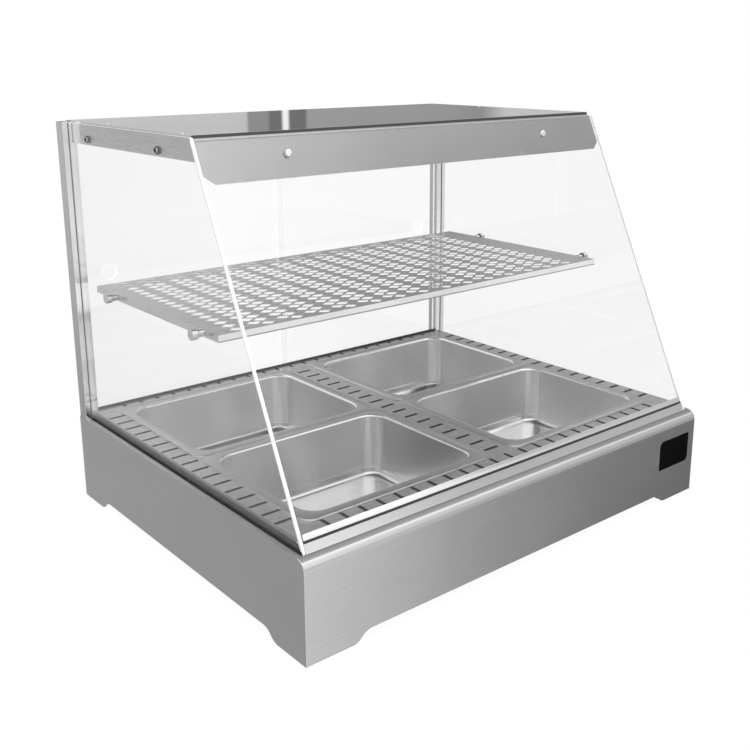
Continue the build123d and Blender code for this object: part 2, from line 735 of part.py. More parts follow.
def glass_screws():
    """Six screws that hold the glasses to the canopy."""
    screws = []
    for y in side_screw_rows:
        screw = glass_screw(side_screw_plane(y, -side_glass_out), side_glass_out - canopy_half + SHEET)
        screws += [screw, mirrored(screw)]
    for x in (-front_screw_x, front_screw_x):
        screws.append(glass_screw(front_screw_plane(x), FRONT_GLASS + SHEET))
    return Compound(children=screws)


def glass_spacers():
    """Washers between the side glasses and the canopy's sides."""
    ring = Circle(SCREW_HEAD / 2) - Circle(SCREW_SHANK / 2 + RUN)
    spacers = []
    for y in side_screw_rows:
        spacer = extrude(side_screw_plane(y, -canopy_half) * ring, side_glass_in - canopy_half)
        spacers += [spacer, mirrored(spacer)]
    return Compound(children=spacers)


def heating_well():
    """Well under the pans: folded floor and walls, a stepped back that guides the air, end plates."""
    path = [
        (well_front, deck_under),
        (well_front, well_floor),
        (well_low_rear, well_floor),
        (well_low_rear, well_step_low),
        (well_rear, well_step_high),
        (well_rear, deck_under),
    ]
    well = along_x(folded(path, 1, WELL_SHEET), -well_half, well_half)
    end = make_face(Polyline(*path, close=True))
    for x in (-well_half, well_half - WELL_SHEET):
        well += along_x(end, x, x + WELL_SHEET)
    return well


def insulation_blanket():
    """Insulation between the tray and the well's floor."""
    span_x = (-well_half + TRAY_LIP, well_half - TRAY_LIP)
    return block(span_x, (well_front + RUN, well_low_rear - RUN), (tray_top, well_floor))


def heating_element():
    """Straight tubular elements side by side across the well."""
    reach = well_half - ELEMENT_END_GAP
    return Compound(children=[
        rod((-reach, y, element_z), (reach, y, element_z), ELEMENT / 2) for y in element_rows
    ])


def element_brackets():
    """Bars that carry the elements above the well's floor."""
    bar_y = (element_rows[0] - ELEMENT, element_rows[-1] + ELEMENT)
    bar_z = (well_floor + WELL_SHEET, element_z - ELEMENT / 2)
    bracket_x = well_half - BRACKET_END_GAP
    return Compound(children=[
        block((x - BRACKET_WIDTH / 2, x + BRACKET_WIDTH / 2), bar_y, bar_z)
        for x in (-bracket_x, bracket_x)
    ])


def lamp_reflector():
    """Trough reflector under the canopy's top sheet."""
    path = [
        (lamp_y - REFLECTOR_HALF, lamp_z),
        (lamp_y - LAMP, canopy_roof),
        (lamp_y + LAMP, canopy_roof),
        (lamp_y + REFLECTOR_HALF, lamp_z),
    ]
    reach = canopy_half - REFLECTOR_INSET
    return along_x(folded(path, -1), -reach, reach)


def lamp_tube():
    """Tubular lamp."""
    return rod((-lamp_half, lamp_y, lamp_z), (lamp_half, lamp_y, lamp_z), LAMP / 2)


def lamp_holders():
    """Sockets at the lamp's ends, on the reflector."""
    holders = []
    for side in (-1, 1):
        ends = sorted((side * lamp_half, side * (lamp_half + HOLDER_LENGTH)))
        y_range = (lamp_y - HOLDER_HALF, lamp_y + HOLDER_HALF)
        holder = block(ends, y_range, (lamp_z - HOLDER_HALF, canopy_roof - SHEET))
        holders.append(holder)
    return Compound(children=holders)


def switch_block(x, grow, low, high):
    """Return the block of a switch body at x, grown by a distance, between two depths."""
    half_x = SWITCH_WIDTH / 2 + grow
    half_z = SWITCH_LENGTH / 2 + grow
    return block((x - half_x, x + half_x), (low, high), (control_z - half_z, control_z + half_z))


def control_bezel():
    """Plate round the controls on the rear panel."""
    plan = Pos((knob_x + pilot_x) / 2, control_z)
    plan *= RectangleRounded(BEZEL_LENGTH, BEZEL_HEIGHT, BEZEL_CORNER)
    return along_y(plan, rear_face, bezel_face) - control_holes(rear_face, bezel_face)


def thermostat_body():
    """Thermostat behind the rear panel, with its bush through the panel."""
    inner = rear_face - SHEET
    half = THERMOSTAT / 2
    box_y = (inner - THERMOSTAT_DEPTH, inner)
    body = block((knob_x - half, knob_x + half), box_y, (control_z - half, control_z + half))
    body += rod((knob_x, inner, control_z), (knob_x, bezel_face, control_z), BUSH / 2)
    bore_start = bezel_face - SHAFT_REACH - RUN
    bore_end = bezel_face + CUT
    return body - rod((knob_x, bore_start, control_z), (knob_x, bore_end, control_z), SHAFT / 2 + SHAFT_FIT)


def thermostat_knob():
    """Skirted knob with a grip bar and its shaft."""
    back = bezel_face + RUN
    skirt_end = back + KNOB_SKIRT_DEPTH
    knob = rod((knob_x, back, control_z), (knob_x, skirt_end, control_z), KNOB_SKIRT / 2)
    face = Plane((knob_x, skirt_end, control_z), z_dir=(0, 1, 0)) * Circle(KNOB / 2)
    knob += extrude(face, KNOB_DEPTH - KNOB_SKIRT_DEPTH, taper=KNOB_TAPER)
    side_y = (back + KNOB_GRIP_RISE, back + KNOB_DEPTH + CUT)
    for side in (-1, 1):
        low, high = sorted((side * KNOB_GRIP / 2, side * KNOB))
        knob -= block((knob_x + low, knob_x + high), side_y, (control_z - KNOB, control_z + KNOB))
    return knob + rod((knob_x, bezel_face - SHAFT_REACH, control_z), (knob_x, back, control_z), SHAFT / 2)


def rocker_axis():
    """Return the depth of the rockers' hinge line."""
    return bezel_face + SWITCH_FLANGE - ROCKER_SINK


def switch_housing(x):
    """Rocker switch housing: flange outside the bezel, body behind it, cavity for the rocker."""
    outer = bezel_face + SWITCH_FLANGE
    housing = switch_block(x, 0, bezel_face - SWITCH_BODY, bezel_face)
    housing += switch_block(x, SWITCH_FLANGE, bezel_face, outer)
    housing -= switch_block(x, -SWITCH_WALL, outer - SWITCH_WELL, outer + CUT)
    pin_reach = SWITCH_WIDTH / 2
    ends = [(x + side * pin_reach, rocker_axis(), control_z) for side in (-1, 1)]
    return housing - rod(*ends, ROCKER_PIN / 2 + SHAFT_FIT)


def switch_rocker(x):
    """Rocker with a two-facet face, tipped to off, on two small pins."""
    half = SWITCH_LENGTH / 2 - SWITCH_WALL - ROCKER_END_GAP
    low_corners = [(-ROCKER_BACK, -half), (-ROCKER_BACK, half)]
    face = [(ROCKER_TIP, half), (ROCKER_RIDGE, 0), (ROCKER_TIP, -half)]
    half_x = SWITCH_WIDTH / 2 - SWITCH_WALL - RUN
    rocker = along_x(make_face(Polyline(*low_corners, *face, close=True)), x - half_x, x + half_x)
    pin_reach = SWITCH_WIDTH / 2 - SWITCH_WALL / 2
    rocker += rod((x - pin_reach, 0, 0), (x + pin_reach, 0, 0), ROCKER_PIN / 2)
    return Pos(0, rocker_axis(), control_z) * Rot(ROCKER_TILT, 0, 0) * rocker


def pilot_lamp():
    """Pilot lamp: body behind the bezel, ring against it and a lens that stands out."""
    stages = (
        (bezel_face - PILOT_BODY, bezel_face + PILOT_LENS, PILOT),
        (bezel_face, bezel_face + PILOT_RING_DEPTH, PILOT_RING),
    )
    body, ring = (rod((pilot_x, low, control_z), (pilot_x, high, control_z), size / 2)
                  for low, high, size in stages)
    return body + ring


def thermostat_sensor():
    """Sensor bulb clipped under the well's stepped back."""
    y = well_low_rear + SENSOR / 2 + RUN
    z = well_step_low - SENSOR_DROP
    reach = SENSOR_LENGTH / 2
    return rod((knob_x - reach, y, z), (knob_x + reach, y, z), SENSOR / 2)


def thermal_cutout():
    """Safety cut-out on the back of the well, with a tab on each side."""
    x = knob_x + THERMAL_CUTOUT_STEP
    z = well_step_low - THERMAL_CUTOUT_DROP
    length, thick, high = THERMAL_CUTOUT_TAB
    disc_end = well_low_rear + THERMAL_CUTOUT_DEPTH
    disc = rod((x, well_low_rear, z), (x, disc_end, z), THERMAL_CUTOUT / 2)
    tab_y = (well_low_rear, well_low_rear + thick)
    return disc + block((x - length / 2, x + length / 2), tab_y, (z - high / 2, z + high / 2))


def terminal_block():
    """Row of mains terminals on the rear panel's foot, with a groove between poles."""
    start = half_width - TERMINAL_INSET
    bottom = tray_top + SHEET
    top = bottom + TERMINAL_HEIGHT
    rear = rear_face - TERMINAL_SETBACK
    span_y = (rear - TERMINAL_DEPTH, rear)
    terminals = block((start, start + TERMINAL_POLES * TERMINAL_PITCH), span_y, (bottom, top))
    groove, deep = TERMINAL_GROOVE
    for pole in range(1, TERMINAL_POLES):
        x = start + pole * TERMINAL_PITCH
        terminals -= block((x - groove / 2, x + groove / 2), span_y, (top - deep, top))
    return terminals


def cable_gland():
    """Cable gland in the rear panel: stem, hexagon, lock nut and tapered dome nut with a clear bore."""
    inner = rear_face - SHEET
    hexagon_end = rear_face + GLAND_HEXAGON
    gland = rod((gland_x, inner - GLAND_TAIL, GLAND_RISE), (gland_x, hexagon_end, GLAND_RISE), GLAND_STEM / 2)
    for start, reach in ((rear_face, GLAND_HEXAGON), (inner - GLAND_LOCKNUT, GLAND_LOCKNUT)):
        plane = Plane((gland_x, start, GLAND_RISE), z_dir=(0, 1, 0))
        gland += extrude(plane * RegularPolygon(GLAND / 2, 6), reach)
    dome = Plane((gland_x, hexagon_end, GLAND_RISE), z_dir=(0, 1, 0)) * Circle(GLAND_DOME / 2)
    gland += extrude(dome, GLAND_DOME_DEPTH, taper=GLAND_DOME_TAPER)
    bore_y = (inner - GLAND_TAIL - CUT, hexagon_end + GLAND_DOME_DEPTH + CUT)
    return gland - rod((gland_x, bore_y[0], GLAND_RISE), (gland_x, bore_y[1], GLAND_RISE), GLAND_BORE / 2)


def build():
    """Return every piece by its node's name."""
    pieces = {
        "base_front_panel": base_front_panel(),
        "base_left_panel": base_left_panel(),
        "base_right_panel": mirrored(base_left_panel()),
        "base_rear_panel": base_rear_panel(),
        "base_tray": base_tray(),
        "heating_well": heating_well(),
        "insulation_blanket": insulation_blanket(),
        "heating_element": heating_element(),
        "element_brackets": element_brackets(),
        "deck_plate": deck_plate(),
        "left_side_channel": left_side_channel(),
        "right_side_channel": mirrored(left_side_channel()),
        "front_glass_channel": front_glass_channel(),
        "left_post": left_post(),
        "right_post": mirrored(left_post()),
        "left_side_glass": left_side_glass(),
        "right_side_glass": mirrored(left_side_glass()),
        "front_glass": front_glass(),
        "canopy_left_side": canopy_left_side(),
        "canopy_right_side": mirrored(canopy_left_side()),
        "canopy_front_flange": canopy_front_flange(),
        "canopy_top": canopy_top(),
        "canopy_rear_rail": canopy_rear_rail(),
        "door_lower_track": door_track(BASE_HEIGHT, LOWER_TRACK_HEIGHT, True),
        "door_upper_track": door_track(canopy_bottom, UPPER_TRACK_HEIGHT, False),
        "left_door": door(True),
        "right_door": door(False),
        "shelf": shelf(),
        "shelf_peg_front_left": left_shelf_peg(peg_front_y),
        "shelf_peg_rear_left": left_shelf_peg(peg_rear_y),
        "shelf_peg_front_right": mirrored(left_shelf_peg(peg_front_y)),
        "shelf_peg_rear_right": mirrored(left_shelf_peg(peg_rear_y)),
        "glass_screws": glass_screws(),
        "glass_spacers": glass_spacers(),
        "lamp_reflector": lamp_reflector(),
        "lamp_tube": lamp_tube(),
        "lamp_holders": lamp_holders(),
        "control_bezel": control_bezel(),
        "thermostat_body": thermostat_body(),
        "thermostat_knob": thermostat_knob(),
        "thermostat_sensor": thermostat_sensor(),
        "main_switch_housing": switch_housing(switch_places[0]),
        "main_switch_rocker": switch_rocker(switch_places[0]),
        "lamp_switch_housing": switch_housing(switch_places[1]),
        "lamp_switch_rocker": switch_rocker(switch_places[1]),
        "pilot_lamp": pilot_lamp(),
        "thermal_cutout": thermal_cutout(),
        "terminal_block": terminal_block(),
        "cable_gland": cable_gland(),
    }
    drawn_pan = pan()
    for name, (x, y) in pan_places().items():
        pieces[name] = Pos(x, y, deck_top + PAN_RIM_HEIGHT) * drawn_pan
    return pieces


os.makedirs("parts", exist_ok=True)
for node, piece in build().items():
    export_step(piece, f"parts/{node}.step")
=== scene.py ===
import math

import bpy
from mathutils import Matrix, Vector


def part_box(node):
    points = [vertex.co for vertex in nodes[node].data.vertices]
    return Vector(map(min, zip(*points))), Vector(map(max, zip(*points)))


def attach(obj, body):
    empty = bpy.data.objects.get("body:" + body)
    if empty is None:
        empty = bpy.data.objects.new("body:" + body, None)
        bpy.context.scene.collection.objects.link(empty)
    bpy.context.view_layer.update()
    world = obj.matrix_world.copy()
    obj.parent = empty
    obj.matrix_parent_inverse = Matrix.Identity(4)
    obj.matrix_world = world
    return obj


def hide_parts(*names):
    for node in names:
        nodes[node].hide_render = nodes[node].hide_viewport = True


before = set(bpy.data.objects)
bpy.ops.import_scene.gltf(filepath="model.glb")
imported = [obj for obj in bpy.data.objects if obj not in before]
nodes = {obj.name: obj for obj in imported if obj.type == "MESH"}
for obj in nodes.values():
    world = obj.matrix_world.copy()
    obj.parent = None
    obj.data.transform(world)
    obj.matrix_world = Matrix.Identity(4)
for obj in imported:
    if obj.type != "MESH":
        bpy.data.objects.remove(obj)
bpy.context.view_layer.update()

MM = 0.001

# Directions, as the case stands: to its right, to its rear and up
ACROSS = (1, 0, 0)
DEEP = (0, 1, 0)
UP = (0, 0, 1)

# Camera, at the photograph's angle and framing
CAMERA_PLACE = (-0.9955, -1.1976, 0.7208)
CAMERA_TURN = 39.80
CAMERA_DIP = 14.57
CAMERA_ROLL = -0.118
CAMERA_SENSOR = 36
CAMERA_LENS = 47.75
CAMERA_SHIFT = (-0.01995, -0.0853)

# Brightness of the studio round the compass: degrees from the front towards the right, and level
STUDIO_FLOOR = [
    (-180, 0.6), (-158, 0.48), (-146, 0.46), (-110, 0.5), (-70, 0.8), (-40, 1.0), (0, 1.15),
    (22, 1.3), (34, 1.05), (46, 0.46), (58, 0.14), (80, 0.1), (105, 0.2), (125, 0.5), (150, 0.6),
    (180, 0.6)]
STUDIO_WALLS = [
    (-180, 0.8), (-158, 0.68), (-146, 0.66), (-90, 0.7), (-40, 0.95), (0, 0.95), (30, 0.95),
    (45, 0.66), (57, 0.56), (90, 0.5), (120, 0.6), (134.2, 0.6), (134.8, 0.3), (137, 0.34),
    (145.0, 0.36), (148.2, 0.6), (157, 0.62), (180, 0.75)]
STUDIO_UPPER = [
    (-180, 0.6), (-140, 0.6), (-60, 0.9), (25, 1.15), (34, 1.05), (37.5, 0.7), (41, 0.36),
    (46, 0.36), (52, 0.44), (63, 0.52), (120, 0.5), (133, 0.44), (140, 0.5), (147, 0.58),
    (156, 0.7), (180, 0.62)]
# Narrow dark and bright bands on the studio's walls: where each starts and ends, and its level
STUDIO_BANDS = [(145.0, 148.2, 0.3), (144.9, 147.0, 0.18), (145.9, 146.25, 1.0)]
STUDIO_BAND_EASE = 0.1
STUDIO_PEAK = 1.3
STUDIO_OVERHEAD = 1.29
STUDIO_FILL = 0.7
# Heights over which one part of the studio gives way to the next, from -1 below to 1 above
FLOOR_TO_WALLS = (-0.38, -0.12)
WALLS_TO_UPPER = (0.12, 0.38)
UPPER_TO_OVERHEAD = (0.36, 0.78)

# Soft lamps, all aimed at one point: place, size and power
LAMP_TARGET = (0, 0, 0.3)
LAMPS = {
    "key": ((-1.2, -1.6, 2.6), (1.8, 1.8), 28),
    "fill": ((2.2, -1.2, 1.6), (1.4, 1.4), 10),
}

# Pale floor: its glow lifts it to white where the camera sees it
FLOOR_SIZE = (14, 14)
FLOOR_DROP = 0.2 * MM
FLOOR_TONE = 0.86
FLOOR_ROUGHNESS = (0.78, 0.82)
FLOOR_GLOW = 1.03
FLOOR_GLOW_SHARE = 0.93

# Painted glow of the polished glass edges, which give off light though they are no lamps
EDGE_PAINTED_GLOW = 0.25
DOOR_EDGE_PAINTED_GLOW = 0.7

# Brushed steel: streaks to the metre along each axis, rubbed edges, and depth of the grain
ALONG_X = (7, 1100, 1100)
ALONG_Y = (1100, 7, 1100)
ALONG_Z = (1100, 1100, 7)
ALL_WAYS = (260, 260, 260)
RUBBED_GAIN = 1.5
RUBBED_LIMIT = 0.9
RUBBED_RADIUS = 0.5 * MM
RUBBED_PATCHINESS = 0.4
RUBBED_POLISH = 0.3
SMUDGE_DULLNESS = 0.06
ROUGHNESS_SPREAD = 0.1
STEEL_RELIEF = 0.2 * MM

# Moulded plastic, rubber and mineral wool
MOULDED_SPREAD = 0.06
MOULDED_GRAIN = 500.0
MOULDED_RELIEF = (0.15, 0.1 * MM)
WOOL_RELIEF = (0.6, 0.5 * MM)

# Dressing of the solids
WELD_REACH = 0.01 * MM
FLAT_ANGLE = math.radians(1)
NODE_BEVEL = 0.25 * MM
NODE_BEVEL_ANGLE = math.radians(40)
GLASS_CLEARANCE = 0.12 * MM

# Deck, with its slots in two rows along the front and the rear and in columns between the pans,
# round which the deck is painted near black as shade
DECK_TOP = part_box("deck_plate")[1].z
SLOT_PITCH = 30 * MM
SLOT_SHADE_REACH = 3.1 * MM
SLOT_SHIFT = 6.4 * MM
SLOT_COLUMN = 364.25 * MM
SLOT_COLUMN_REACH = 13.6 * MM
SLOT_COLUMN_ENDS = (-238 * MM, 251 * MM)
SLOT_ROW_ENDS = (-334 * MM, 334 * MM)
SLOT_FRONT_ROW = (-282.3 * MM, -260.1 * MM)
SLOT_REAR_ROW = (285.2 * MM, 295.4 * MM)

# Where the accents of the steels lie: start and full strength, or the two ends of a field
MASK_FADE = 0.2 * MM
DECK_FIELD = ((-376 * MM, 376 * MM), (-286 * MM, 298 * MM))
DECK_UNDERSIDE = (150 * MM, 150.4 * MM)
DECK_SKIN = (DECK_TOP - 0.6 * MM, DECK_TOP - 0.5 * MM)
SHELF_FIELD = ((-371 * MM, 371 * MM), (-107 * MM, 256 * MM))
SHELF_UNDERSIDE = (366 * MM, 367 * MM)
SHELF_FOLD_FACE = (-109 * MM, -110 * MM)
SHELF_FOLD_FOOT = (360.6 * MM, 360.2 * MM)
FLANGE_SHADE_HEIGHTS = (616.8 * MM, 617.2 * MM)
PANEL_BEND = (130 * MM, 132 * MM)
LAP_START = (262 * MM, 263 * MM)
PAN_RIM_START = (DECK_TOP, DECK_TOP + MM)
PAN_HEM_START = (DECK_TOP, DECK_TOP + 0.1 * MM)
PAN_TURN_START = (DECK_TOP - 4 * MM, DECK_TOP - 3.6 * MM)

# How level the front panel's bend is where it gives way to the top
PANEL_TURN = (0.74, 0.84)

# Drawn pans: half-size gastronorm, with falls and insets of the rings that shape them
PAN_RIM = (325 * MM, 265 * MM)
PAN_RIM_CORNER = 16 * MM
PAN_MOUTH = (299 * MM, 239 * MM)
PAN_MOUTH_CORNER = 30 * MM
CORNER_STEPS = 10
PAN_DEPTH = 100 * MM
PAN_SHEET = 0.8 * MM
PAN_HEM = 2.5 * MM
PAN_HEM_TURN = 0.6 * MM
PAN_HEM_LEAN = 0.5 * MM
PAN_SHOULDER = 4.0 * MM
PAN_SHOULDER_SHARE = 0.6
PAN_SHOULDER_STEPS = 5
PAN_TAPER = math.radians(5)
PAN_LEDGE = 16 * MM
PAN_LEDGE_RINGS = [(0.5 * MM, 0.9 * MM), (0.5 * MM, 0.2 * MM)]
PAN_FOOT_RING = (6 * MM, 0.6 * MM)
PAN_FLOOR_ROUND = 8 * MM
PAN_FLOOR_STEPS = 8
PAN_FLOOR_RINGS = [(0, 30 * MM), (0.5 * MM, 30 * MM)]
PAN_EDGE = 0.25 * MM

# Pierced shelf: holes in pairs of columns that nest into each other, and notches over the pegs
SHEET = 1.2 * MM
SHELF_HOLE = (23 * MM, 17 * MM)
SHELF_HOLE_CORNER = 1.4 * MM
SHELF_HOLE_PITCH = (46.7 * MM, 20.2 * MM)
SHELF_HOLE_START = (35 * MM, 14.2 * MM)
SHELF_HOLE_OFFSET = (30.3 * MM, 10.1 * MM)
SHELF_HOLE_COUNT = (15, 18)
SHELF_EDGE = 0.15 * MM
PEG_PLACES = (-72 * MM, 187 * MM)
PEG_NOTCH = 2.8 * MM

# Black strip at the deck's rear edge: a dark piece that stands for the shade in the gap before the
# doors
DOOR_SHADE_END = 372 * MM
DOOR_SHADE_GAP = 0.3 * MM
DOOR_SHADE_THICKNESS = 2 * MM
DOOR_SHADE_FOOT = 146 * MM
DOOR_SHADE_RISE = 3.5 * MM
DOOR_SHADE_EDGE = 0.5 * MM

# Bare plate on the front panel
BADGE_ACROSS = (306 * MM, 382 * MM)
BADGE_UP = (58 * MM, 107 * MM)
BADGE_THICKNESS = 0.8 * MM
BADGE_CORNER = 9 * MM
BADGE_EDGE = 0.25 * MM

# Leaning front glass, with the seal and the clamp strip along its foot: where each strip starts and
# ends up the glass, and its thickness
GLASS_LEAN = math.radians(25.1)
GLASS_OUTWARD = (0, -math.cos(GLASS_LEAN), math.sin(GLASS_LEAN))
GLASS_UPWARD = (0, math.sin(GLASS_LEAN), math.cos(GLASS_LEAN))
GLASS_FOOT = (0, -304.3 * MM, 145.04 * MM)
SEAL_SIZE = (8.0 * MM, 11.0 * MM, 1.6 * MM)
CLAMP_SIZE = (11.0 * MM, 19.0 * MM, 1.4 * MM)
STRIP_END = 383 * MM
STRIP_GAP = 0.1 * MM
STRIP_EDGE = 0.45 * MM

# Screws: the shares of a head that its dome, its rim and its socket's depth take, then the places,
# and the radius and height of each kind of head
SCREW_SIDES = 36
SCREW_DOME = 0.6
SOCKET_RIM = 0.35
SOCKET_SLOPE = 0.15 * MM
SOCKET_DEPTH = 0.55
SIDE_SCREWS = [(x, y) for x in (-388.5 * MM, 388.5 * MM) for y in (12 * MM, 233 * MM)]
SIDE_SCREW_HEIGHT = 597 * MM
SIDE_SCREW_SIZE = (3.2 * MM, 1.0 * MM)
FRONT_SCREWS = (-250 * MM, 250 * MM)
FRONT_SCREW_PLACE = (-94.4 * MM, 592.6 * MM)
FRONT_SCREW_SIZE = (5.2 * MM, 2.6 * MM)
TOP_SCREWS = [(x, y) for x in (-375 * MM, 375 * MM) for y in (-40 * MM, 180 * MM)]
TOP_SCREW_SIZE = (3.2 * MM, 1.2 * MM)


# Modelling by operators

def choose(piece):
    """Leave one piece selected and active, so that an operator acts on it alone."""
    bpy.ops.object.select_all(action="DESELECT")
    piece.select_set(True)
    bpy.context.view_layer.objects.active = piece


def start_edit(piece, mode="VERT"):
    """Open one piece in edit mode with nothing in it selected."""
    choose(piece)
    bpy.ops.object.mode_set(mode="EDIT")
    bpy.ops.mesh.select_mode(type=mode)
    bpy.ops.mesh.select_all(action="DESELECT")


def end_edit():
    """Go back to object mode."""
    bpy.ops.object.mode_set(mode="OBJECT")


def pick(piece, kind, test):
    """Select the vertices, edges or polygons of a piece that pass a test, in edit mode."""
    mode = {"vertices": "VERT", "edges": "EDGE", "polygons": "FACE"}[kind]
    bpy.ops.mesh.select_mode(type=mode)
    bpy.ops.mesh.select_all(action="DESELECT")
    bpy.ops.object.mode_set(mode="OBJECT")
    for item in getattr(piece.data, kind):
        item.select = bool(test(item))
    bpy.ops.object.mode_set(mode="EDIT")


def edge_ends(piece, edge):
    """Return the places of an edge's two ends."""
    return [piece.data.vertices[index].co for index in edge.vertices]


def settle(piece):
    """Put a piece's place into its mesh."""
    choose(piece)
    bpy.ops.object.transform_apply(location=True, rotation=True, scale=True)


def add_plane(name, centre, size):
    """Return a flat rectangle of a size, facing up."""
    bpy.ops.mesh.primitive_plane_add(size=1, location=centre)
    piece = bpy.context.object
    piece.name = name
    piece.scale = (*size, 1)
    settle(piece)
    return piece


def add_block(name, low, high):
    """Return a box between two corners."""
    low, high = Vector(low), Vector(high)
    bpy.ops.mesh.primitive_cube_add(size=1, location=(low + high) / 2)
    piece = bpy.context.object
    piece.name = name
    piece.scale = high - low
    settle(piece)
    return piece


def add_rod(name, start, end, radius, sides):
    """Return a round bar between two points."""
    axis = end - start
    bpy.ops.mesh.primitive_cylinder_add(
        vertices=sides, radius=radius, depth=axis.length, location=(start + end) / 2,
        rotation=axis.to_track_quat("Z", "Y").to_euler())
    piece = bpy.context.object
    piece.name = name
    settle(piece)
    return piece


def apply(piece, kind, **values):
    """Add a modifier to a piece and apply it."""
    choose(piece)
    modifier = piece.modifiers.new(kind.title(), kind)
    for key, value in values.items():
        setattr(modifier, key, value)
    bpy.ops.object.modifier_apply(modifier=modifier.name)


def smooth(piece, angle=35):
    """Shade a piece smooth, with a crease where it turns by more than an angle."""
    choose(piece)
    bpy.ops.object.shade_smooth_by_angle(angle=math.radians(angle))


def round_edges(piece, width, steps=2, angle=30):
    """Bevel a piece's sharp edges and shade it smooth."""
    apply(piece, "BEVEL", width=width, segments=steps, limit_method="ANGLE",
          angle_limit=math.radians(angle))
    smooth(piece)


def join(pieces, name):
    """Join pieces into one, under a name."""
    choose(pieces[0])
    for piece in pieces:
        piece.select_set(True)
    bpy.ops.object.join()
    pieces[0].name = name
    return pieces[0]


def finish_piece(piece, body, slot, material, *replaced):
    """Give a finished piece its body, slot and material, and the nodes that it stands for."""
    piece.data.materials.clear()
    piece.data.materials.append(material)
    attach(piece, body)
    if replaced:
        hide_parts(*replaced)


# Shader node groups and the nodes that they are made of

def new_group(name, inputs, outputs):
    """Return an empty shader group with its sockets, and its input and output nodes."""
    group = bpy.data.node_groups.new(name, "ShaderNodeTree")
    for label, kind, value in inputs:
        socket = group.interface.new_socket(label, in_out="INPUT", socket_type=kind)
        if value is not None:
            socket.default_value = value
    for label, kind in outputs:
        group.interface.new_socket(label, in_out="OUTPUT", socket_type=kind)
    return group, group.nodes.new("NodeGroupInput"), group.nodes.new("NodeGroupOutput")


def feed(tree, value, socket):
    """Set an input to a number or a group of numbers, or link it to another node's output."""
    if isinstance(value, (int, float, tuple)):
        socket.default_value = value
    else:
        tree.links.new(value, socket)


def maths(tree, operation, first, second=None, clamp=False):
    """Return the output of a math node fed by sockets or numbers."""
    node = tree.nodes.new("ShaderNodeMath")
    node.operation = operation
    node.use_clamp = clamp
    feed(tree, first, node.inputs[0])
    if second is not None:
        feed(tree, second, node.inputs[1])
    return node.outputs[0]


def product(tree, first, second):
    """Return the product of two vectors, axis by axis."""
    node = tree.nodes.new("ShaderNodeVectorMath")
    node.operation = "MULTIPLY"
    feed(tree, first, node.inputs[0])
    feed(tree, second, node.inputs[1])
    return node.outputs["Vector"]


def agreement(tree, first, second):
    """Return the dot product of two vectors."""
    node = tree.nodes.new("ShaderNodeVectorMath")
    node.operation = "DOT_PRODUCT"
    feed(tree, first, node.inputs[0])
    feed(tree, second, node.inputs[1])
    return node.outputs["Value"]


def rescale(tree, value, low, high, new_low, new_high):
    """Return a value mapped from one range to another, clamped and eased."""
    node = tree.nodes.new("ShaderNodeMapRange")
    node.interpolation_type = "SMOOTHSTEP"
    feed(tree, value, node.inputs["Value"])
    feed(tree, low, node.inputs["From Min"])
    feed(tree, high, node.inputs["From Max"])
    feed(tree, new_low, node.inputs["To Min"])
    feed(tree, new_high, node.inputs["To Max"])
    return node.outputs["Result"]


def rise(tree, value, low, high):
    """Return a mask that rises from 0 to 1 between two values."""
    return rescale(tree, value, low, high, 0.0, 1.0)


def between(tree, factor, first, second):
    """Return a number between two by a share."""
    node = tree.nodes.new("ShaderNodeMix")
    feed(tree, factor, node.inputs["Factor"])
    feed(tree, first, node.inputs["A"])
    feed(tree, second, node.inputs["B"])
    return node.outputs["Result"]


def noise(tree, vector, scale, detail=4.0, roughness=0.55):
    """Return the output of a noise texture."""
    node = tree.nodes.new("ShaderNodeTexNoise")
    tree.links.new(vector, node.inputs["Vector"])
    node.inputs["Scale"].default_value = scale
    node.inputs["Detail"].default_value = detail
    node.inputs["Roughness"].default_value = roughness
    return node.outputs["Fac"]


def make_grain_group():
    """Grain of brushed metal: streaks along one axis, coarse and fine."""
    group, start, end = new_group(
        "brushed grain",
        [("Vector", "NodeSocketVector", None), ("Length", "NodeSocketVector", None)],
        [("Streaks", "NodeSocketFloat"), ("Fine", "NodeSocketFloat")])
    stretched = product(group, start.outputs["Vector"], start.outputs["Length"])
    group.links.new(noise(group, stretched, 1.0, 3.0), end.inputs["Streaks"])
    group.links.new(noise(group, stretched, 4.0, 2.0), end.inputs["Fine"])
    return group


def make_wear_group():
    """Mask of rubbed edges: where the normal rounded over a radius leaves the true one."""
    group, start, end = new_group(
        "rubbed edges",
        [("Vector", "NodeSocketVector", None), ("Patchiness", "NodeSocketFloat", 0.5),
         ("Radius", "NodeSocketFloat", RUBBED_RADIUS)],
        [("Mask", "NodeSocketFloat")])
    rounded = group.nodes.new("ShaderNodeBevel")
    rounded.samples = 4
    group.links.new(start.outputs["Radius"], rounded.inputs["Radius"])
    true = group.nodes.new("ShaderNodeNewGeometry")
    same = agreement(group, rounded.outputs["Normal"], true.outputs["Normal"])
    edge = rise(group, same, 0.995, 0.85)
    patches = rise(group, noise(group, start.outputs["Vector"], 60.0), 0.3, 0.6)
    spread = maths(group, "SUBTRACT", 1.0, start.outputs["Patchiness"])
    patches = maths(group, "MAXIMUM", patches, spread)
    group.links.new(maths(group, "MULTIPLY", edge, patches, clamp=True), end.inputs["Mask"])
    return group


def make_smudge_group():
    """Slow cloudy change over a wiped surface, with a few finger smudges."""
    group, start, end = new_group(
        "wiped surface",
        [("Vector", "NodeSocketVector", None)],
        [("Cloud", "NodeSocketFloat"), ("Smudges", "NodeSocketFloat")])
    cloud = noise(group, start.outputs["Vector"], 5.0, 3.0, 0.5)
    group.links.new(rise(group, cloud, 0.3, 0.7), end.inputs["Cloud"])
    spots = noise(group, start.outputs["Vector"], 22.0, 5.0, 0.6)
    group.links.new(rise(group, spots, 0.58, 0.72), end.inputs["Smudges"])
    return group


GRAIN = make_grain_group()
WEAR = make_wear_group()
SMUDGE = make_smudge_group()


# Materials

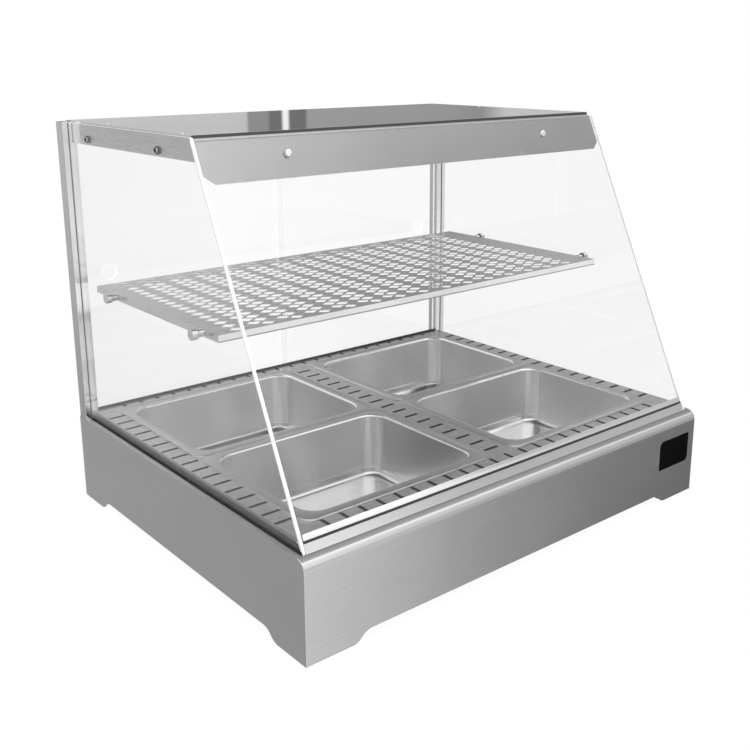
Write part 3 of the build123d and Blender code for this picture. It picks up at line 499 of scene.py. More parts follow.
def new_material(name):
    """Return a new material, its node tree, its shader and the Object coordinates."""
    material = bpy.data.materials.new(name)
    material.use_nodes = True
    tree = material.node_tree
    shader = tree.nodes["Principled BSDF"]
    place = tree.nodes.new("ShaderNodeTexCoord").outputs["Object"]
    return material, tree, shader, place


def add_group(tree, group, place, **values):
    """Place a shader group in a material, fed by the coordinates."""
    node = tree.nodes.new("ShaderNodeGroup")
    node.node_tree = group
    tree.links.new(place, node.inputs["Vector"])
    for key, value in values.items():
        node.inputs[key].default_value = value
    return node


def blend_colours(tree, factor, first, second):
    """Return a mix of two colours by a mask."""
    node = tree.nodes.new("ShaderNodeMix")
    node.data_type = "RGBA"
    tree.links.new(factor, node.inputs["Factor"])
    sockets = [socket for socket in node.inputs if socket.type == "RGBA"]
    for socket, colour in zip(sockets, (first, second)):
        feed(tree, (*colour, 1) if isinstance(colour, tuple) else colour, socket)
    return [socket for socket in node.outputs if socket.type == "RGBA"][0]


def mix_shaders(tree, share, first, second):
    """Return a mix of two shaders by a share."""
    node = tree.nodes.new("ShaderNodeMixShader")
    tree.links.new(share, node.inputs["Fac"])
    tree.links.new(first, node.inputs[1])
    tree.links.new(second, node.inputs[2])
    return node.outputs["Shader"]


def show_shader(tree, shader):
    """Make a shader the surface of its material."""
    tree.links.new(shader, tree.nodes["Material Output"].inputs["Surface"])


def add_relief(tree, shader, height, strength, depth):
    """Let a height shape the shader's normal."""
    relief = tree.nodes.new("ShaderNodeBump")
    relief.inputs["Strength"].default_value = strength
    relief.inputs["Distance"].default_value = depth
    tree.links.new(height, relief.inputs["Height"])
    tree.links.new(relief.outputs["Normal"], shader.inputs["Normal"])


def grey(level):
    """Return a neutral colour from its linear level."""
    return (level, level, level)


def steel(name, level, roughness, grain, contrast=0.12, cloudiness=0.06, bump=0.08, accents=(),
          edges=None):
    """Brushed stainless steel: streaks, rubbed edges and wiped cloudiness.

    An accent gives another tone and roughness to what its mask shows; most accents are painted
    highlights and painted shade. The edges, if given, are the tone, the width and the patchiness of
    the rubbed ones;
    a dark tone there paints shade along the edges instead of lighter wear.
    """
    material, tree, shader, place = new_material(name)
    shader.inputs["Metallic"].default_value = 1.0
    streaks = add_group(tree, GRAIN, place, Length=grain)
    edge_tone, edge_radius, patchiness = edges or (
        min(level * RUBBED_GAIN, RUBBED_LIMIT), RUBBED_RADIUS, RUBBED_PATCHINESS)
    wear = add_group(tree, WEAR, place, Patchiness=patchiness, Radius=edge_radius).outputs["Mask"]
    wiped = add_group(tree, SMUDGE, place)
    streak = rise(tree, streaks.outputs["Streaks"], 0.25, 0.75)
    base = blend_colours(tree, streak, grey(level * (1 - contrast)), grey(level * (1 + contrast)))
    cloudy = blend_colours(tree, wiped.outputs["Cloud"], grey(1 - cloudiness), grey(1.0))
    # The edge mask lightens rubbed edges as wear; a dark edge tone paints shade along the edges
    # instead
    colour = blend_colours(tree, wear, product(tree, base, cloudy), grey(edge_tone))
    rough = rescale(tree, streaks.outputs["Fine"], 0.3, 0.7, roughness * (1 - ROUGHNESS_SPREAD),
                    roughness * (1 + ROUGHNESS_SPREAD))
    dulled = maths(tree, "MULTIPLY", wiped.outputs["Smudges"], roughness * SMUDGE_DULLNESS)
    polished = maths(tree, "MULTIPLY", wear, roughness * RUBBED_POLISH)
    rough = maths(tree, "SUBTRACT", maths(tree, "ADD", rough, dulled), polished)
    for mask_of, tone, finish in accents:
        mask = mask_of(tree, place)
        colour = blend_colours(tree, mask, colour, grey(tone))
        rough = between(tree, mask, rough, finish)
    tree.links.new(colour, shader.inputs["Base Color"])
    tree.links.new(rough, shader.inputs["Roughness"])
    add_relief(tree, shader, streaks.outputs["Streaks"], bump, STEEL_RELIEF)
    return material


def clear_glass(name, pane, glow=EDGE_PAINTED_GLOW):
    """Clear glass for a pane that faces along a direction, with polished white edges that give off
    a painted glow.
    """
    material, tree, shader, place = new_material(name)
    shader.inputs["Base Color"].default_value = (*grey(0.995), 1)
    shader.inputs["Transmission Weight"].default_value = 1.0
    shader.inputs["IOR"].default_value = 1.45
    wiped = add_group(tree, SMUDGE, place)
    marks = maths(tree, "MULTIPLY", wiped.outputs["Smudges"], 0.01)
    tree.links.new(marks, shader.inputs["Roughness"])
    path = tree.nodes.new("ShaderNodeLightPath")
    through = tree.nodes.new("ShaderNodeBsdfTransparent")
    through.inputs["Color"].default_value = (*grey(0.95), 1)
    clear = mix_shaders(tree, path.outputs["Is Shadow Ray"], shader.outputs["BSDF"],
                        through.outputs["BSDF"])
    # Edges drawn white, with a painted glow: they give off light though they are no lamp
    edge = tree.nodes.new("ShaderNodeBsdfPrincipled")
    edge.inputs["Base Color"].default_value = (*grey(0.9), 1)
    edge.inputs["Roughness"].default_value = 0.15
    edge.inputs["Emission Color"].default_value = (*grey(1.0), 1)
    edge.inputs["Emission Strength"].default_value = glow
    rim = turned_away(tree, pane, 0.85, 0.95)
    show_shader(tree, mix_shaders(tree, rim, clear, edge.outputs["BSDF"]))
    return material


def moulded(name, colour, roughness, coat=0.0, specular=0.5):
    """Moulded plastic or rubber with a fine texture and dust in its grain."""
    material, tree, shader, place = new_material(name)
    wear = add_group(tree, WEAR, place, Patchiness=0.7)
    wiped = add_group(tree, SMUDGE, place)
    lighter = tuple(min(part * 1.8 + 0.003, 1) for part in colour)
    dusty = tuple(min(part * 1.3 + 0.002, 1) for part in colour)
    base = blend_colours(tree, wiped.outputs["Cloud"], colour, dusty)
    worn = blend_colours(tree, wear.outputs["Mask"], base, lighter)
    tree.links.new(worn, shader.inputs["Base Color"])
    rough = rescale(tree, noise(tree, place, 40.0), 0.3, 0.7, roughness - MOULDED_SPREAD,
                    roughness + MOULDED_SPREAD)
    tree.links.new(rough, shader.inputs["Roughness"])
    shader.inputs["Coat Weight"].default_value = coat
    shader.inputs["Specular IOR Level"].default_value = specular
    add_relief(tree, shader, noise(tree, place, MOULDED_GRAIN), *MOULDED_RELIEF)
    return material


def mineral_wool():
    """Matt fibrous blanket."""
    material, tree, shader, place = new_material("mineral wool")
    fibres = add_group(tree, GRAIN, place, Length=(120, 900, 900))
    base = blend_colours(tree, fibres.outputs["Streaks"], (0.5, 0.45, 0.3), (0.78, 0.72, 0.55))
    tree.links.new(base, shader.inputs["Base Color"])
    shader.inputs["Roughness"].default_value = 0.95
    add_relief(tree, shader, fibres.outputs["Fine"], *WOOL_RELIEF)
    return material


# Masks by direction and by place

def facing(tree, direction, low, high):
    """Mask of what faces along a direction, either way round."""
    normal = tree.nodes.new("ShaderNodeNewGeometry").outputs["True Normal"]
    return rise(tree, maths(tree, "ABSOLUTE", agreement(tree, normal, direction)), low, high)


def turned_away(tree, direction, low, high):
    """Mask of what doesn't face along a direction."""
    return maths(tree, "SUBTRACT", 1.0, facing(tree, direction, low, high))


def along(tree, place, axis):
    """Return the place along one axis."""
    parts = tree.nodes.new("ShaderNodeSeparateXYZ")
    tree.links.new(place, parts.inputs[0])
    return parts.outputs[axis]


def beyond(tree, place, axis, low, high):
    """Mask that rises from 0 to 1 between two places along an axis."""
    return rise(tree, along(tree, place, axis), low, high)


def both(tree, *masks):
    """Return the product of masks."""
    result = masks[0]
    for mask in masks[1:]:
        result = maths(tree, "MULTIPLY", result, mask)
    return result


def inside(tree, place, axis, low, high):
    """Mask of what lies between two places along an axis."""
    return both(tree, beyond(tree, place, axis, low, low + MASK_FADE),
                beyond(tree, place, axis, high, high - MASK_FADE))


def near_repeats(tree, place, axis, pitch, shift, reach):
    """Mask of what lies within reach of places that repeat along an axis."""
    shifted = maths(tree, "SUBTRACT", along(tree, place, axis), shift)
    away = maths(tree, "PINGPONG", shifted, pitch / 2)
    return rescale(tree, away, reach - MASK_FADE, reach, 1.0, 0.0)


def cut_walls(tree, place, field, underside):
    """Walls of the holes in a level sheet, within a field."""
    across, deep = field
    return both(tree, turned_away(tree, UP, 0.3, 0.6), inside(tree, place, "X", *across),
                inside(tree, place, "Y", *deep), beyond(tree, place, "Z", *underside))


def shelf_hole_walls_painted_highlight(tree, place):
    """Cut walls of the holes in the shelf, painted near white as a highlight."""
    return cut_walls(tree, place, SHELF_FIELD, SHELF_UNDERSIDE)


def shelf_fold_painted_highlight(tree, place):
    """Front face of the shelf's fold, painted near white as a highlight."""
    return both(tree, facing(tree, DEEP, 0.6, 0.8), beyond(tree, place, "Y", *SHELF_FOLD_FACE))


def shelf_lip(tree, place):
    """Lower edge of the shelf's fold, painted darker than the face above it."""
    return both(tree, shelf_fold_painted_highlight(tree, place), beyond(tree, place, "Z", *SHELF_FOLD_FOOT))


def flange_seam_painted_shade(tree, place):
    """Painted shade along the joint at the top edge of the canopy's flange."""
    return beyond(tree, place, "Z", *FLANGE_SHADE_HEIGHTS)


def panel_top_painted_shade(tree, place):
    """Top of the front panel, in front of the glass, painted dark as shade."""
    return both(tree, facing(tree, UP, *PANEL_TURN), beyond(tree, place, "Z", *PANEL_BEND))


def panel_roll_painted_highlight(tree, place):
    """Bend at the top of the front panel, painted lighter as a highlight."""
    return both(tree, facing(tree, UP, 0.15, 0.45), turned_away(tree, UP, *PANEL_TURN),
                beyond(tree, place, "Z", *PANEL_BEND))


def post_front_painted_highlight(tree, place):
    """Front face of the posts, polished and painted near white as a highlight."""
    return facing(tree, DEEP, 0.6, 0.9)


def slot_walls_painted_shade(tree, place):
    """Cut walls of the slots in the deck, painted near black as shade."""
    return cut_walls(tree, place, DECK_FIELD, DECK_UNDERSIDE)


def slot_rims_painted_shade(tree, place):
    """Deck round its slots, painted near black as shade, so that the slots read wider."""
    columns = both(tree, near_repeats(tree, place, "X", SLOT_COLUMN, 0, SLOT_COLUMN_REACH),
                   near_repeats(tree, place, "Y", SLOT_PITCH, SLOT_SHIFT, SLOT_SHADE_REACH),
                   inside(tree, place, "Y", *SLOT_COLUMN_ENDS))
    rows = both(tree, near_repeats(tree, place, "X", SLOT_PITCH, 0, SLOT_SHADE_REACH),
                inside(tree, place, "X", *SLOT_ROW_ENDS),
                maths(tree, "MAXIMUM", inside(tree, place, "Y", *SLOT_FRONT_ROW),
                      inside(tree, place, "Y", *SLOT_REAR_ROW)))
    return both(tree, maths(tree, "MAXIMUM", columns, rows), facing(tree, UP, 0.8, 0.9),
                beyond(tree, place, "Z", *DECK_SKIN))


def pan_rim(tree, place):
    """Flat rim of the pans, brushed like the deck."""
    return both(tree, facing(tree, UP, 0.97, 0.99), beyond(tree, place, "Z", *PAN_RIM_START))


def pan_turn(tree, place):
    """What leans where the pans' walls turn into the rim."""
    return both(tree, facing(tree, UP, 0.12, 0.2), facing(tree, UP, 0.99, 0.97),
                beyond(tree, place, "Z", *PAN_TURN_START))


def pan_shoulder_painted_highlight(tree, place):
    """Shoulder at the pans' front and rear, polished and painted near white as a highlight."""
    return both(tree, pan_turn(tree, place), facing(tree, ACROSS, 0.6, 0.3),
                facing(tree, DEEP, 0.25, 0.45))


def pan_side_shoulder_painted_shade(tree, place):
    """The same shoulder at the pans' sides, rougher and painted darker as shade."""
    return both(tree, pan_turn(tree, place), facing(tree, ACROSS, 0.3, 0.45))


def pan_hem_painted_highlight(tree, place):
    """Rolled outer edge of the pans' rim, polished and painted near white as a highlight."""
    return both(tree, turned_away(tree, UP, 0.85, 0.95),
                beyond(tree, place, "Z", *PAN_HEM_START))


def canopy_lap(tree, place):
    """Brighter overlap at the rear of the canopy's sides."""
    return beyond(tree, place, "Y", *LAP_START)


# Front panel: its top painted dark as shade, its bend painted lighter as a highlight
PANEL_STEEL = steel("panel steel", 0.58, 0.24, ALONG_X, contrast=0.035, bump=0.015,
                    accents=[(panel_top_painted_shade, 0.26, 0.3), (panel_roll_painted_highlight, 0.78, 0.3)])
# Flange: painted shade along the joint at its top edge
FLANGE_STEEL = steel("flange steel", 0.55, 0.24, ALONG_X, contrast=0.03, bump=0.0,
                     accents=[(flange_seam_painted_shade, 0.1, 0.5)])
SIDE_STEEL = steel("side steel", 0.58, 0.30, ALONG_Y, contrast=0.03, bump=0.015)
CANOPY_STEEL = steel("canopy steel", 0.59, 0.26, ALONG_Y, contrast=0.025, bump=0.01,
                     accents=[(canopy_lap, 0.85, 0.2)])
# Posts: front faces painted near white as a highlight
POST_STEEL = steel("post steel", 0.60, 0.20, ALONG_Z, contrast=0.06, bump=0.03,
                   accents=[(post_front_painted_highlight, 0.97, 0.1)])
# Deck steel: the slot walls, the deck round the slots and every edge, over 1.6 mm, are painted near
# black as shade
DECK_STEEL = steel("deck steel", 0.58, 0.28, ALONG_X, contrast=0.06, cloudiness=0.12, bump=0.04,
                   accents=[(slot_walls_painted_shade, 0.03, 0.6), (slot_rims_painted_shade, 0.02, 0.6)],
                   edges=(0.015, 1.6 * MM, 0.0))
TOP_STEEL = steel("top steel", 0.60, 0.05, ALONG_X, contrast=0.08, cloudiness=0.10, bump=0.04)
# Shelf: hole walls and the fold's face painted near white as highlights, the fold's foot painted
# darker
SHELF_STEEL = steel("shelf steel", 0.60, 0.26, ALONG_X, contrast=0.06, bump=0.04,
                    accents=[(shelf_hole_walls_painted_highlight, 0.97, 0.1), (shelf_fold_painted_highlight, 0.97, 0.12),
                             (shelf_lip, 0.4, 0.3)])
CLAMP_STEEL = steel("clamp steel", 0.97, 0.2, ALONG_X, contrast=0.02, bump=0.01)
BRIGHT_STEEL = steel("bright steel", 0.78, 0.14, ALONG_X, contrast=0.04, bump=0.03)
# Side channels: painted dark as the shade in the gap between the deck and the side panels
SHADED_CHANNEL_STEEL = steel("channel steel painted shade", 0.24, 0.3, ALONG_Y, contrast=0.06, bump=0.03)
# Pans: front and rear shoulders and the rolled hem painted near white as highlights, side shoulders
# painted darker as shade
PAN_STEEL = steel("pan steel", 0.84, 0.20, ALONG_Z, contrast=0.05, cloudiness=0.10, bump=0.02,
                  accents=[(pan_rim, 0.53, 0.28), (pan_shoulder_painted_highlight, 0.97, 0.08),
                           (pan_side_shoulder_painted_shade, 0.45, 0.3), (pan_hem_painted_highlight, 0.97, 0.1)])
DULL_STEEL = steel("galvanised sheet", 0.34, 0.45, ALL_WAYS, contrast=0.2, cloudiness=0.25)
WELL_STEEL = steel("well sheet", 0.12, 0.5, ALL_WAYS, contrast=0.2, cloudiness=0.25)
TRACK_STEEL = steel("track", 0.06, 0.45, ALONG_X, contrast=0.1)
DARK_TUBE = steel("oxidised tube", 0.10, 0.5, ALL_WAYS, contrast=0.2)
SCREW_STEEL = steel("screw steel", 0.95, 0.08, ALL_WAYS, contrast=0.03, bump=0.0)
SCREW_BLACK = steel("blackened screw", 0.07, 0.35, ALL_WAYS, contrast=0.1)
SIDE_GLASS = clear_glass("side glass", ACROSS)
FRONT_GLASS = clear_glass("front glass", GLASS_OUTWARD)
DOOR_GLASS = clear_glass("door glass", DEEP, DOOR_EDGE_PAINTED_GLOW)
LAMP_GLASS = moulded("lamp glass", (0.9, 0.9, 0.88), 0.3)
BLACK_PLASTIC = moulded("black plastic", (0.025, 0.025, 0.025), 0.42)
PLATE_BLACK = moulded("plate black", (0.004, 0.004, 0.004), 0.6, specular=0.0)
WHITE_PLASTIC = moulded("white plastic", (0.72, 0.72, 0.70), 0.5)
AMBER = moulded("amber lens", (0.85, 0.35, 0.03), 0.2, coat=0.5)
RUBBER = moulded("rubber", (0.03, 0.03, 0.03), 0.7)
WOOL = mineral_wool()

# Materials of the CAD nodes that no piece stands for
NODE_MATERIALS = {
    PANEL_STEEL: ["base_front_panel", "base_rear_panel", "canopy_rear_rail", "control_bezel"],
    FLANGE_STEEL: ["canopy_front_flange"],
    SIDE_STEEL: ["base_left_panel", "base_right_panel"],
    CANOPY_STEEL: ["canopy_left_side", "canopy_right_side"],
    POST_STEEL: ["left_post", "right_post"],
    DECK_STEEL: ["deck_plate"],
    TOP_STEEL: ["canopy_top"],
    BRIGHT_STEEL: ["front_glass_channel", "shelf_peg_front_left", "shelf_peg_front_right",
                   "shelf_peg_rear_left", "shelf_peg_rear_right", "lamp_reflector",
                   "door_upper_track", "thermostat_sensor"],
    SHADED_CHANNEL_STEEL: ["left_side_channel", "right_side_channel"],
    TRACK_STEEL: ["door_lower_track"],
    WELL_STEEL: ["heating_well"],
    DULL_STEEL: ["base_tray", "element_brackets", "thermal_cutout"],
    DARK_TUBE: ["heating_element"],
    SIDE_GLASS: ["left_side_glass", "right_side_glass"],
    FRONT_GLASS: ["front_glass"],
    DOOR_GLASS: ["left_door", "right_door"],
    LAMP_GLASS: ["lamp_tube"],
    BLACK_PLASTIC: ["thermostat_knob", "thermostat_body", "main_switch_housing", "cable_gland",
                    "main_switch_rocker", "lamp_switch_housing", "lamp_switch_rocker"],
    WHITE_PLASTIC: ["lamp_holders", "terminal_block"],
    AMBER: ["pilot_lamp"],
    WOOL: ["insulation_blanket"],
    RUBBER: ["glass_spacers"],
}


def make_smooth_group():
    """Geometry group that shades every face smooth, for the weighted normals that follow."""
    group = bpy.data.node_groups.new("shade smooth", "GeometryNodeTree")
    group.interface.new_socket("Geometry", in_out="INPUT", socket_type="NodeSocketGeometry")
    group.interface.new_socket("Geometry", in_out="OUTPUT", socket_type="NodeSocketGeometry")
    shade = group.nodes.new("GeometryNodeSetShadeSmooth")
    group.links.new(group.nodes.new("NodeGroupInput").outputs[0], shade.inputs["Geometry"])
    group.links.new(shade.outputs["Geometry"], group.nodes.new("NodeGroupOutput").inputs[0])
    return group


SHADE_SMOOTH = make_smooth_group()


def dress_nodes():
    """Give every CAD node its material, and a fine bevel that catches the light."""
    for material, names in NODE_MATERIALS.items():
        for name in names:
            node = nodes[name]
            node.data.materials.clear()
            node.data.materials.append(material)
            if material in (SIDE_GLASS, FRONT_GLASS, DOOR_GLASS):
                continue
            weld = node.modifiers.new("Weld", "WELD")
            weld.merge_threshold = WELD_REACH
            if name == "canopy_front_flange":
                shrink = node.modifiers.new("Clearance", "DISPLACE")
                shrink.strength = -GLASS_CLEARANCE
                shrink.mid_level = 0
            flatten = node.modifiers.new("Flatten", "DECIMATE")
            flatten.decimate_type = "DISSOLVE"
            flatten.angle_limit = FLAT_ANGLE
            rounded = node.modifiers.new("Smooth", "NODES")
            rounded.node_group = SHADE_SMOOTH
            bevel = node.modifiers.new("Bevel", "BEVEL")
            bevel.width = NODE_BEVEL
            bevel.segments = 2
            bevel.limit_method = "ANGLE"
            bevel.angle_limit = NODE_BEVEL_ANGLE
            normals = node.modifiers.new("Normals", "WEIGHTED_NORMAL")
            normals.keep_sharp = True


# Pieces drawn over the solids or beside them

def quarter_turn(radius, steps):
    """Return the falls and insets of a quarter turn that starts level and ends upright."""
    angles = [math.radians(90 * step / steps) for step in range(steps + 1)]
    return [(radius * (math.cos(before) - math.cos(after)),
             radius * (math.sin(after) - math.sin(before)))
            for before, after in zip(angles, angles[1:])]


def draw_rings(centre, size, rings):
    """Extrude the selected ring down and in by each fall and inset, from its size across."""
    half_x, half_y = size[0] / 2, size[1] / 2
    for fall, inset in rings:
        bpy.ops.mesh.extrude_region_move(TRANSFORM_OT_translate={"value": (0, 0, -fall)})
        drawn_in = ((half_x - inset) / half_x, (half_y - inset) / half_y, 1)
        bpy.ops.transform.resize(value=drawn_in, center_override=centre)
        half_x, half_y = half_x - inset, half_y - inset


def pan_rings():
    """Return the rings of a pan's shoulder, tapered wall, ledge and rounded floor."""
    shoulder = [(fall, inset * PAN_SHOULDER_SHARE)
                for fall, inset in quarter_turn(PAN_SHOULDER, PAN_SHOULDER_STEPS)]
    wall = PAN_DEPTH - PAN_SHOULDER - PAN_LEDGE
    floor_turn = [(inset, fall) for fall, inset in quarter_turn(PAN_FLOOR_ROUND, PAN_FLOOR_STEPS)]
    return (shoulder + [(wall, wall * math.tan(PAN_TAPER))] + PAN_LEDGE_RINGS + [PAN_FOOT_RING]
            + floor_turn + PAN_FLOOR_RINGS)


def make_pan(name, centre):
    """Drawn pan: flat rim with a rolled hem, rounded shoulder, tapered wall and rounded floor."""
    top = Vector((centre.x, centre.y, DECK_TOP + PAN_HEM))
    outer = add_plane("rim", top, PAN_RIM)
    inner = add_plane("mouth", top, PAN_MOUTH)
    for piece, corner in ((outer, PAN_RIM_CORNER), (inner, PAN_MOUTH_CORNER)):
        start_edit(piece)
        bpy.ops.mesh.select_all(action="SELECT")
        bpy.ops.mesh.bevel(offset=corner, segments=CORNER_STEPS, affect="VERTICES", profile=0.5)
        bpy.ops.mesh.select_all(action="SELECT")
        bpy.ops.mesh.delete(type="ONLY_FACE")
        end_edit()
    pan = join([outer, inner], name)

    def in_mouth(vertex):
        return (abs(vertex.co.x - top.x) < PAN_MOUTH[0] / 2 + MM
                and abs(vertex.co.y - top.y) < PAN_MOUTH[1] / 2 + MM)

    start_edit(pan, "EDGE")
    bpy.ops.mesh.select_all(action="SELECT")
    bpy.ops.mesh.bridge_edge_loops()
    pick(pan, "vertices", in_mouth)
    draw_rings(top, PAN_MOUTH, pan_rings())
    bpy.ops.mesh.edge_face_add()
    pick(pan, "vertices", lambda vertex: not in_mouth(vertex))
    draw_rings(top, PAN_RIM, [(PAN_HEM_TURN, 0), (PAN_HEM - PAN_HEM_TURN, PAN_HEM_LEAN)])
    bpy.ops.mesh.select_all(action="SELECT")
    bpy.ops.mesh.normals_make_consistent(inside=False)
    end_edit()
    apply(pan, "SOLIDIFY", thickness=PAN_SHEET, offset=-1)
    round_edges(pan, PAN_EDGE, angle=50)
    return pan


def make_pans():
    """Four drawn pans, each over its solid."""
    for name in ("pan_front_left", "pan_front_right", "pan_rear_left", "pan_rear_right"):
        low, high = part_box(name)
        pan = make_pan(name + "_drawn", (low + high) / 2)
        finish_piece(pan, name, "pan_steel", PAN_STEEL, name)


def add_lozenges(name, first, counts):
    """Grid of upright lozenge prisms, from the centre of its first one."""
    bpy.ops.mesh.primitive_cylinder_add(vertices=4, radius=0.5, depth=1, location=first)
    piece = bpy.context.object
    piece.name = name
    piece.scale = (*SHELF_HOLE, 5 * SHEET)
    settle(piece)

    def upright(edge):
        start, end = edge_ends(piece, edge)
        return abs(start.z - end.z) > MM

    start_edit(piece, "EDGE")
    pick(piece, "edges", upright)
    bpy.ops.mesh.bevel(offset=SHELF_HOLE_CORNER, segments=2, affect="EDGES")
    end_edit()
    for axis, count in enumerate(counts):
        step = [0, 0, 0]
        step[axis] = SHELF_HOLE_PITCH[axis]
        apply(piece, "ARRAY", count=count, use_relative_offset=False, use_constant_offset=True,
              constant_offset_displace=step)
    return piece


def make_shelf():
    """Pierced shelf folded down at its edges, with a notch over each peg."""
    low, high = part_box("shelf")
    shelf = add_block("shelf_pierced", low, high)
    start_edit(shelf, "FACE")
    pick(shelf, "polygons", lambda face: face.normal.z < -0.9)
    bpy.ops.mesh.delete(type="FACE")
    end_edit()
    apply(shelf, "SOLIDIFY", thickness=SHEET, offset=-1, use_even_offset=True)
    columns, rows = SHELF_HOLE_COUNT
    first = Vector((low.x + SHELF_HOLE_START[0], low.y + SHELF_HOLE_START[1], high.z))
    second = first + Vector((*SHELF_HOLE_OFFSET, 0))
    cutters = [add_lozenges("holes", first, (columns, rows)),
               add_lozenges("more_holes", second, (columns - 1, rows - 1))]
    for y in PEG_PLACES:
        notch_low = (low.x - MM, y - PEG_NOTCH, low.z - MM)
        notch_high = (high.x + MM, y + PEG_NOTCH, high.z - SHEET)
        cutters.append(add_block("notch", notch_low, notch_high))
    cutter = join(cutters, "cutter")
    apply(shelf, "BOOLEAN", operation="DIFFERENCE", object=cutter, solver="MANIFOLD")
    choose(cutter)
    bpy.ops.object.delete()
    apply(shelf, "BEVEL", width=SHELF_EDGE, segments=1, limit_method="ANGLE",
          angle_limit=math.radians(60))
    smooth(shelf, 25)
    finish_piece(shelf, "shelf", "brushed_steel", SHELF_STEEL, "shelf")


def make_door_shade_strip():
    """Black strip at the deck's rear edge, in front of the doors: painted shade of the gap there.
    """
    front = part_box("deck_plate")[1].y + DOOR_SHADE_GAP
    shade_strip = add_block("door_shade_strip", (-DOOR_SHADE_END, front, DOOR_SHADE_FOOT),
                    (DOOR_SHADE_END, front + DOOR_SHADE_THICKNESS, DECK_TOP + DOOR_SHADE_RISE))
    round_edges(shade_strip, DOOR_SHADE_EDGE)
    finish_piece(shade_strip, "root", "rubber", RUBBER)


def make_badge_plate():
    """Bare black plate on the front panel, with two rounded corners."""
    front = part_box("base_front_panel")[0].y
    low = Vector((BADGE_ACROSS[0], front - BADGE_THICKNESS, BADGE_UP[0]))
    high = Vector((BADGE_ACROSS[1], front, BADGE_UP[1]))
    middle = (low + high) / 2
    plate = add_block("badge_plate", low, high)

    def rounded_corner(edge):
        start, end = edge_ends(plate, edge)
        through = abs(start.x - end.x) < MM / 10 and abs(start.z - end.z) < MM / 10
        left_top = start.x < middle.x and start.z > middle.z
        right_bottom = start.x > middle.x and start.z < middle.z
        return through and (left_top or right_bottom)

    start_edit(plate, "EDGE")
    pick(plate, "edges", rounded_corner)
    bpy.ops.mesh.bevel(offset=BADGE_CORNER, segments=CORNER_STEPS, affect="EDGES")
    end_edit()
    round_edges(plate, BADGE_EDGE)
    finish_piece(plate, "root", "black_plastic", PLATE_BLACK)


def make_screw(place, outward, radius, head):
    """Domed socket screw whose head stands out of a face."""
    place, outward = Vector(place), Vector(outward).normalized()
    screw = add_rod("screw", place, place + outward * head, radius, SCREW_SIDES)

    def outer_face(face):
        return len(face.vertices) > 6 and face.normal.dot(outward) > 0.9

    start_edit(screw, "FACE")
    pick(screw, "polygons", outer_face)
    bpy.ops.mesh.bevel(offset=head * SCREW_DOME, segments=4, affect="EDGES")
    pick(screw, "polygons", outer_face)
    bpy.ops.mesh.inset(thickness=radius * SOCKET_RIM)
    bpy.ops.mesh.inset(thickness=SOCKET_SLOPE, depth=-head * SOCKET_DEPTH)
    end_edit()
    smooth(screw, 40)
    return screw


def make_screws():
    """Screws that hold the glasses to the canopy, and the small ones in its top."""
    sides = [make_screw((x, y, SIDE_SCREW_HEIGHT), (math.copysign(1, x), 0, 0), *SIDE_SCREW_SIZE)
             for x, y in SIDE_SCREWS]
    finish_piece(join(sides, "side_glass_screws"), "root", "brushed_steel", SCREW_BLACK,
                 "glass_screws")
    fronts = [make_screw((x, *FRONT_SCREW_PLACE), GLASS_OUTWARD, *FRONT_SCREW_SIZE)
              for x in FRONT_SCREWS]
    finish_piece(join(fronts, "front_glass_screws"), "root", "brushed_steel", SCREW_STEEL,
                 "glass_screws")
    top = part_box("canopy_top")[1].z
    tops = [make_screw((x, y, top), UP, *TOP_SCREW_SIZE) for x, y in TOP_SCREWS]
    finish_piece(join(tops, "top_screws"), "root", "polished_steel", BRIGHT_STEEL)


def make_glass_strip(name, low, high, thickness):
    """Strip that lies on the leaning front glass, between two heights up the glass."""
    middle = Vector(GLASS_UPWARD) * (low + high) / 2
    off_glass = Vector(GLASS_OUTWARD) * (thickness / 2 + STRIP_GAP)
    half = Vector((STRIP_END, thickness / 2, (high - low) / 2))
    strip = add_block(name, -half, half)
    strip.rotation_euler = (-GLASS_LEAN, 0, 0)
    strip.location = Vector(GLASS_FOOT) + middle + off_glass
    settle(strip)
    round_edges(strip, STRIP_EDGE, 3)
    return strip


def make_glass_foot():
    """Dark seal and clamp strip along the foot of the front glass."""
    seal = make_glass_strip("front_glass_seal", *SEAL_SIZE)
    finish_piece(seal, "root", "rubber", RUBBER)
    clamp = make_glass_strip("front_glass_clamp", *CLAMP_SIZE)
    finish_piece(clamp, "root", "polished_steel", CLAMP_STEEL)


# Camera, floor, studio and lamps

def set_camera():
    """Place the camera at the photograph's angle."""
    data = bpy.data.cameras.new("camera")
    data.lens = CAMERA_LENS
    data.sensor_width = CAMERA_SENSOR
    data.shift_x, data.shift_y = CAMERA_SHIFT
    camera = bpy.data.objects.new("camera", data)
    bpy.context.scene.collection.objects.link(camera)
    turn = Matrix.Rotation(math.radians(-CAMERA_TURN), 4, "Z")
    dip = Matrix.Rotation(math.radians(90 - CAMERA_DIP), 4, "X")
    roll = Matrix.Rotation(math.radians(CAMERA_ROLL), 4, "Z")
    camera.matrix_world = Matrix.Translation(CAMERA_PLACE) @ turn @ dip @ roll
    bpy.context.scene.camera = camera


